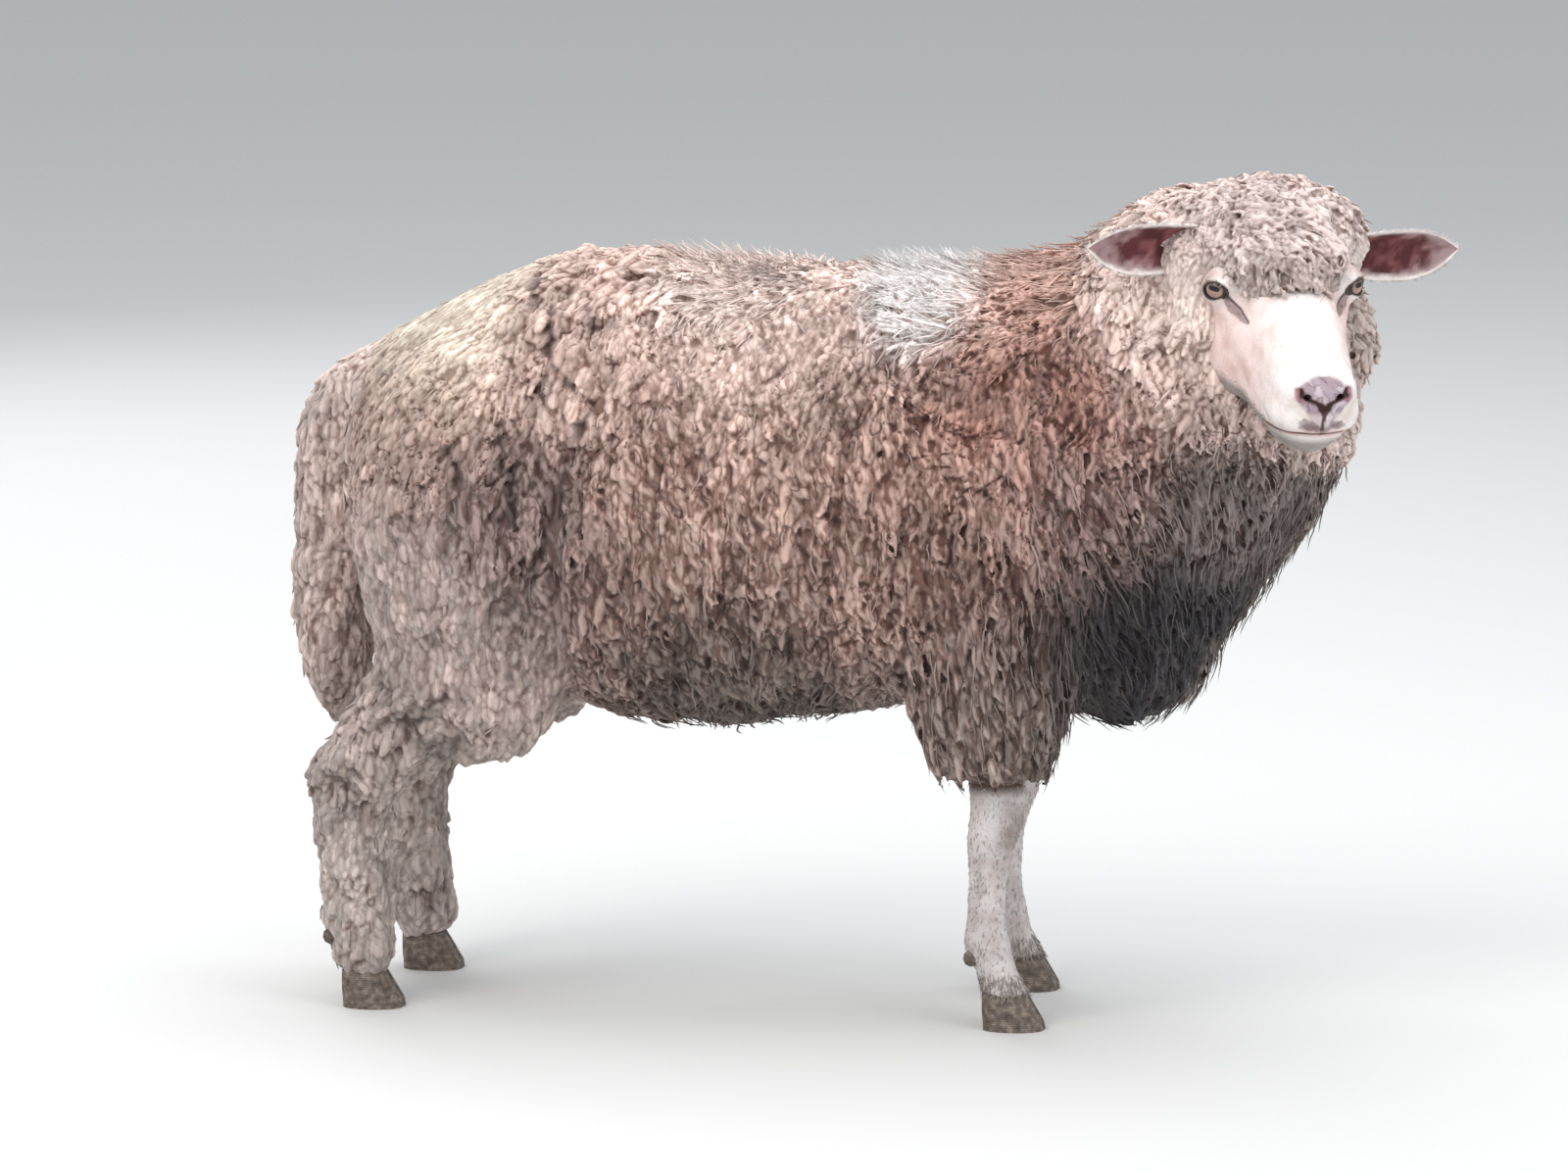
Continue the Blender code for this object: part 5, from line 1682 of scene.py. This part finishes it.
def feltColours(points, normals, tris, lent, line, relief):
    # painted shade in the creases, the partings, the fine lines and the locks' buried edges,
    # painted light on the ridges
    every = np.ones(len(points), bool)
    near = relaxed(points, tris, 3, 0.7, every)
    wide = relaxed(near, tris, 6, 0.8, every)
    dip = ((near - points) * normals).sum(1) / 0.00045 + ((wide - points) * normals).sum(1) / 0.0020
    crease, _, deep = creaseAt(points)
    broken = step(-0.9, 0.3, cloud(points, 0.016, 73, 1))
    shade = 1 - 0.60 * deep * np.exp(-(crease / 0.0045) ** 2) * broken
    buried = 1 - step(-0.15, 0.55, lent["ridge"])
    deepest = np.clip(0.72 * buried + 0.65 * step(0.1, 1.9, dip), 0, 1) * mixed(0.35, 1.0, relief)
    dark = mixed(1.0, lockShade - 0.05, deepest[:, None])
    light = 1 + 0.15 * step(0.0, 1.6, -dip)
    dark = dark * mixed(1.0, np.array(fineLines["tint"]), np.clip(line, 0, 1)[:, None])
    return lent["coat"][:, :3] * dark * (shade * light)[:, None]


def finishPiece(piece):
    piece.data.materials.append(woolFinish)
    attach(piece, "root")
    count = sum(len(p.vertices) - 2 for p in piece.data.polygons)
    print(piece.name, count, "triangles")
    return count


def feltGroups(part, middle):
    # which faces of the felt go to each piece; what lies under the bare skin goes to none
    local = toHead(middle)
    x, _, z = bodyPlace(middle)
    hidden = (bareShare(local - (0.060, 0, 0)) > 0.5) | (x > 0.02) & (z < 0.222)
    if part == "body":
        hidden |= farFrom(local, muzzleMiddle) < 0.10
        return {name: mask & ~hidden for name, mask in coatPieces(middle).items()
                if "head" not in name}
    onHead = (farFrom(local, headMiddle) < 0.158) & ~hidden
    facing = onHead & (bareShare(local + (0.03, 0, 0)) > 0.5)
    onHead[facing] = overSkin(middle[facing]) > -0.0015
    return {"wool_head_right": onHead & (local[:, 1] < 0),
            "wool_head_left": onHead & (local[:, 1] >= 0)}


def feltPieces(part, rough, lend):
    points, normals, tris, lent = felted(rough, lend, *felt[part])
    groups = feltGroups(part, points[tris].mean(1))
    wanted = np.any(list(groups.values()), axis=0)
    used, flat = np.unique(tris[wanted], return_inverse=True)
    normals, lent = normals[used], {k: v[used] for k, v in lent.items()}
    tris = flat.reshape(-1, 3)
    points, line, relief, lie = parted(points[used], normals)
    colours = feltColours(points, normals, tris, lent, line, relief)
    count = 0
    for name, mask in groups.items():
        own, flat = np.unique(tris[mask[wanted]], return_inverse=True)
        name = name.replace("wool", "felt")
        piece = addMesh(name, points[own], [flat.reshape(-1, 3)])
        paint(piece, "coat", colours[own])
        paint(piece, "along", lent["along"][own] * 0.45 + 0.5)
        paint(piece, "strand", lent["strand"][own])
        paint(piece, "lie", lie[own])
        bakeMap(piece, unwrapped(name, points[own], points[own].min(0), points[own].max(0)))
        count += finishPiece(piece)
    print(part, "felted")
    return count


def wispPieces(part, gen):
    verts, quad, tip, foot, colour, t, sides, roll, roots = part
    return sum(finishPiece(joined(name, [(verts[mask], quad, tip, foot, colour[mask], t, sides,
                                          roll, roots[mask])], gen, 0.45))
               for name, mask in coatPieces(roots).items())


gen = np.random.default_rng(100)
grown = {}
for word, (p, n, way) in rooted.items():
    grown[word] = locks(p, n, way, coatStyle(p), coatDepth(p), layers[word], gen)
rough = roughWool(grown["main"])
lend = lendNodes(rough)
print("locks made")
total = sum(feltPieces(part, rough, lend) for part in ("body", "head"))
bpy.data.objects.remove(rough)
total += wispPieces(grown["wisps"], gen)
print("wool in all:", total)


# short hair, where it breaks the form: the face's edge, ears, legs and coronets

hairs = {
    # tufts to a square metre, length, width, lift, colour
    "edge": (100e3, 0.0060, 0.0013, 0.18, (0.88, 0.78, 0.74)),
    "jaw": (50e3, 0.0065, 0.0012, 0.25, (0.62, 0.55, 0.53)),
    "ear": (400e3, 0.0048, 0.0010, 0.20, (0.90, 0.87, 0.85)),
    "leg": (55e3, 0.0075, 0.0013, 0.22, (0.56, 0.51, 0.48)),
    "coronet": (200e3, 0.0100, 0.0016, 0.30, (0.50, 0.44, 0.40)),
}


def hairPlaces():
    # for each part: a share at each face of the skin, and the way the hair lies
    points, normals, tris = arraysOf(skin.data)
    middle = points[tris].mean(1)
    local = toHead(middle)
    x, _, z = bodyPlace(middle)
    u, v, w = local.T
    on, _, along, across = earOf[tris].mean(1).T
    bare = bareShare(local)
    faceWay = np.stack([np.full(len(u), -0.9), 0.25 * np.sign(v), np.full(len(u), -0.45)], 1)
    rimWay = np.stack([np.full(len(u), 0.25), np.sign(v) * (0.55 + along),
                       np.sign(across) * 0.9], 1)
    down = np.tile((-0.15, 0, -1.0), (len(u), 1))
    leg = (x > 0.02) & (z < 0.238)
    face = (bare > 0.5) & (on < 0.5) & (u < 0.19)
    shares = {
        "edge": face & (bareShare(local - (0.013, 0, 0)) < 0.5),
        "jaw": face & (w < -0.050) & (u < 0.165),
        "ear": (on > 0.5) & (along > 0.10) & (np.abs(across) > 0.86),
        "leg": leg & (z > 0.055),
        "coronet": leg & (z <= 0.055) & (z > 0.030),
    }
    ways = {"edge": faceWay @ headTurn.T, "jaw": faceWay @ headTurn.T, "ear": rimWay @ headTurn.T,
            "leg": down, "coronet": down}
    return points, normals, tris, shares, ways


def shortHair():
    points, normals, tris, shares, ways = hairPlaces()
    gen = np.random.default_rng(55)
    parts = {"hair_face": [], "hair_legs": []}
    for name, (dense, long, wide, lift, colour) in hairs.items():
        t = tris[shares[name]]
        pick = np.repeat(np.arange(len(t)), gen.poisson(sizesOf(points, t) * dense))
        root, n = drawnIn(points, normals, t[pick], gen)
        way = ways[name][shares[name]][pick] + 0.30 * gen.normal(size=root.shape)
        way = unit(way - (way * n).sum(1, keepdims=True) * n)
        length = long * gen.uniform(0.6, 1.25, len(root))
        rings = np.array((0.0, 0.5, 1.0))
        rise = lift * gen.uniform(0.3, 1.3, len(root))
        path = (root[:, None] - 0.0006 * n[:, None]
                + way[:, None] * (length[:, None] * rings)[..., None]
                + n[:, None] * (length * rise)[:, None, None] * (rings ** 1.3)[None, :, None])
        across = np.repeat(np.cross(n, way)[:, None], 3, 1)
        over = np.repeat(n[:, None], 3, 1)
        girth = 0.5 * wide * np.tile((1.0, 0.8, 0.0), (len(root), 1))
        tone = np.array(colour) * gen.uniform(0.82, 1.1, len(root))[:, None]
        parts["hair_legs" if name in ("leg", "coronet") else "hair_face"].append(
            sweep(path, across, over, girth, 3, 0.6) + (tone, rings, 3, 0.3, root))
    for name, part in parts.items():
        finishPiece(joined(name, part, gen, 0.15))


shortHair()


# eyes

eyeLook = {"iris": (0.300, 0.185, 0.150), "ring": (0.020, 0.013, 0.011),
           "white": (0.075, 0.050, 0.042), "pupil": (0.006, 0.005, 0.006)}
pupil = {"halfWide": 0.42, "halfHigh": 0.17, "ends": (0.50, 0.20), "raised": 0.08}


def eyeMaterial():
    made, nodes, shader = newMaterial("eye", 0.16, 0.35)
    grain = node(nodes, "TexNoise", "Fac", Scale=700.0, Vector=placeOn(nodes))
    vary = ramp(nodes, grain, (0.35, 0.72), (0.65, 1.15))
    feed(shader["Base Color"], tinted(nodes, given(nodes, "coat"), vary, 0.6))
    feed(shader["Coat Weight"], 0.30)
    feed(shader["Coat Roughness"], 0.12)
    return made


eyeFinish = eyeMaterial()


def eyeBall(side, name):
    around, rows = 96, 64
    e = unit(np.array(eyes["gaze"]))
    back = unit(np.cross((0, 0, 1.0), e))
    up = np.cross(e, back)
    mirror = np.array((1.0, side, 1.0))
    at = np.array(eyes["at"]) * mirror
    polar = np.concatenate([np.linspace(0, 0.95, 44), np.linspace(1.0, math.pi, rows - 44)])
    turn = np.linspace(0, 2 * math.pi, around, endpoint=False)
    points, colours = [], []
    c = {k: np.array(v) for k, v in eyeLook.items()}
    r = eyes["radius"]
    for p in polar:
        bulge = 1 + 0.045 * math.exp(-(p / 0.55) ** 2)
        ring = (math.cos(p) * e[None] + math.sin(p) * (np.cos(turn)[:, None] * back[None]
                + np.sin(turn)[:, None] * up[None])) * r * bulge
        points.append(at + ring * mirror)
        px, py = p * np.cos(turn), p * np.sin(turn)
        tone = np.tile(c["iris"], (around, 1)) * (0.85 + 0.25 * np.abs(np.sin(turn * 13)))[:, None]
        # painted shadow of the upper lid over the top of the eye, and painted light on its lower
        # half
        tone = tone * mixed(1.25, 0.30, step(-0.15, 0.42, py))[:, None]
        tone = mixed(tone, c["ring"], step(0.56, 0.70, np.full(around, p))[:, None])
        tone = mixed(tone, c["white"], step(0.92, 1.00, np.full(around, p))[:, None])
        high = py - pupil["raised"]
        slit = (np.maximum(np.abs(px) / pupil["halfWide"], np.abs(high) / pupil["halfHigh"]) ** 4
                + np.hypot(px / pupil["ends"][0], high / pupil["ends"][1]) ** 4)
        tone = mixed(tone, c["pupil"], step(1.5, 1.0, slit)[:, None])
        colours.append(tone)
    points = fromHead(np.concatenate(points))
    quads = tubeQuads(rows, around)
    if side < 0:
        quads = quads[:, ::-1]
    ball = addMesh("eyeball_" + name, points, [quads])

    def closed(bm):
        bmesh.ops.remove_doubles(bm, verts=bm.verts, dist=1e-6)
        bmesh.ops.recalc_face_normals(bm, faces=bm.faces)

    inBmesh(ball.data, closed)
    tree = treeOf(points)
    order = [tree.find(p)[1] for p in arraysOf(ball.data)[0]]
    paint(ball, "coat", np.concatenate(colours)[order])
    ball.data.shade_smooth()
    ball.data.materials.append(eyeFinish)
    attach(ball, "root")
    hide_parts("eye_" + name)


eyeBall(-1, "right")
eyeBall(1, "left")
print("eyes done")


# hooves

def hornMaterial():
    made, nodes, shader = newMaterial("hoof_horn", 0.5, 0.4)
    place = placeOn(nodes)
    rings = node(nodes, "TexWave", "Fac", {"bands_direction": "Z"}, Scale=150.0,
                 Distortion=0.8, Detail=3.0, Vector=place)
    stain = node(nodes, "TexNoise", "Fac", Scale=160.0, Detail=5.0, Vector=place)
    base = ramp(nodes, stain, (0.30, (0.060, 0.045, 0.036)), (0.52, (0.15, 0.115, 0.09)),
                (0.72, (0.30, 0.24, 0.19)))
    band = ramp(nodes, rings, (0.2, 0.78), (0.8, 1.05))
    feed(shader["Base Color"], tinted(nodes, base, band, 0.8))
    feed(shader["Normal"], bumped(nodes, rings, 0.4, 0.0006))
    return made


hornFinish = hornMaterial()
for name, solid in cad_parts.items():
    if name.startswith(("claw_", "dewclaw_")):
        if not solid.material_slots:
            solid.data.materials.append(hornFinish)
        for slot in solid.material_slots:
            slot.material = hornFinish


# floor, light and camera

floor = bpy.data.objects.new("floor", bpy.data.meshes.new("floor"))
inBmesh(floor.data, lambda bm: bmesh.ops.create_grid(bm, x_segments=1, y_segments=1, size=30))
bpy.context.scene.collection.objects.link(floor)
floorFinish, _, floorInputs = newMaterial("floor", 0.9)
feed(floorInputs["Base Color"], (0.62, 0.62, 0.61, 1))
floor.data.materials.append(floorFinish)

studio = {
    "sky": ((0.93, 0.96, 1.0), 0.70),
    # name: place, size, watts, colour
    "key": ((-1.6, -3.2, 4.2), 3.0, 150, (1.0, 0.98, 0.95)),
    "top": ((0.2, 0.6, 4.6), 4.0, 150, (0.97, 0.98, 1.0)),
    "fill": ((3.6, -2.4, 1.8), 2.5, 45, (1.0, 0.99, 0.98)),
    "rim": ((-2.5, 3.6, 2.4), 2.5, 50, (0.98, 0.99, 1.0)),
}
world = bpy.data.worlds.new("studio")
bpy.context.scene.world = world
world.use_nodes = True
world.node_tree.nodes["Background"].inputs[0].default_value = (*studio["sky"][0], 1)
world.node_tree.nodes["Background"].inputs[1].default_value = studio["sky"][1]
for name in ("key", "top", "fill", "rim"):
    place, size, watts, colour = studio[name]
    lamp = bpy.data.lights.new(name, "AREA")
    lamp.size, lamp.energy, lamp.color = size, watts, colour
    made = bpy.data.objects.new(name, lamp)
    made.location = place
    made.rotation_mode = "QUATERNION"
    made.rotation_quaternion = (Vector((0, 0, 0.4)) - Vector(place)).to_track_quat("-Z", "Y")
    bpy.context.scene.collection.objects.link(made)

view = {"aim": (-0.0813, 0.0307, 0.3998), "azimuth": 10, "height": 9, "away": 8.0, "across": 1.496}
azimuth, height = math.radians(view["azimuth"]), math.radians(view["height"])
back = Vector((math.sin(azimuth) * math.cos(height), -math.cos(azimuth) * math.cos(height),
               math.sin(height)))
camera = bpy.data.objects.new("camera", bpy.data.cameras.new("camera"))
camera.location = Vector(view["aim"]) + back * view["away"]
camera.rotation_mode = "QUATERNION"
camera.rotation_quaternion = (-back).to_track_quat("-Z", "Y")
camera.data.sensor_width = 36
camera.data.lens = 36 * view["away"] / view["across"]
camera.data.clip_end = 100
bpy.context.scene.collection.objects.link(camera)
bpy.context.scene.camera = camera
bpy.context.scene.view_settings.view_transform = "Standard"

print("scene ready")
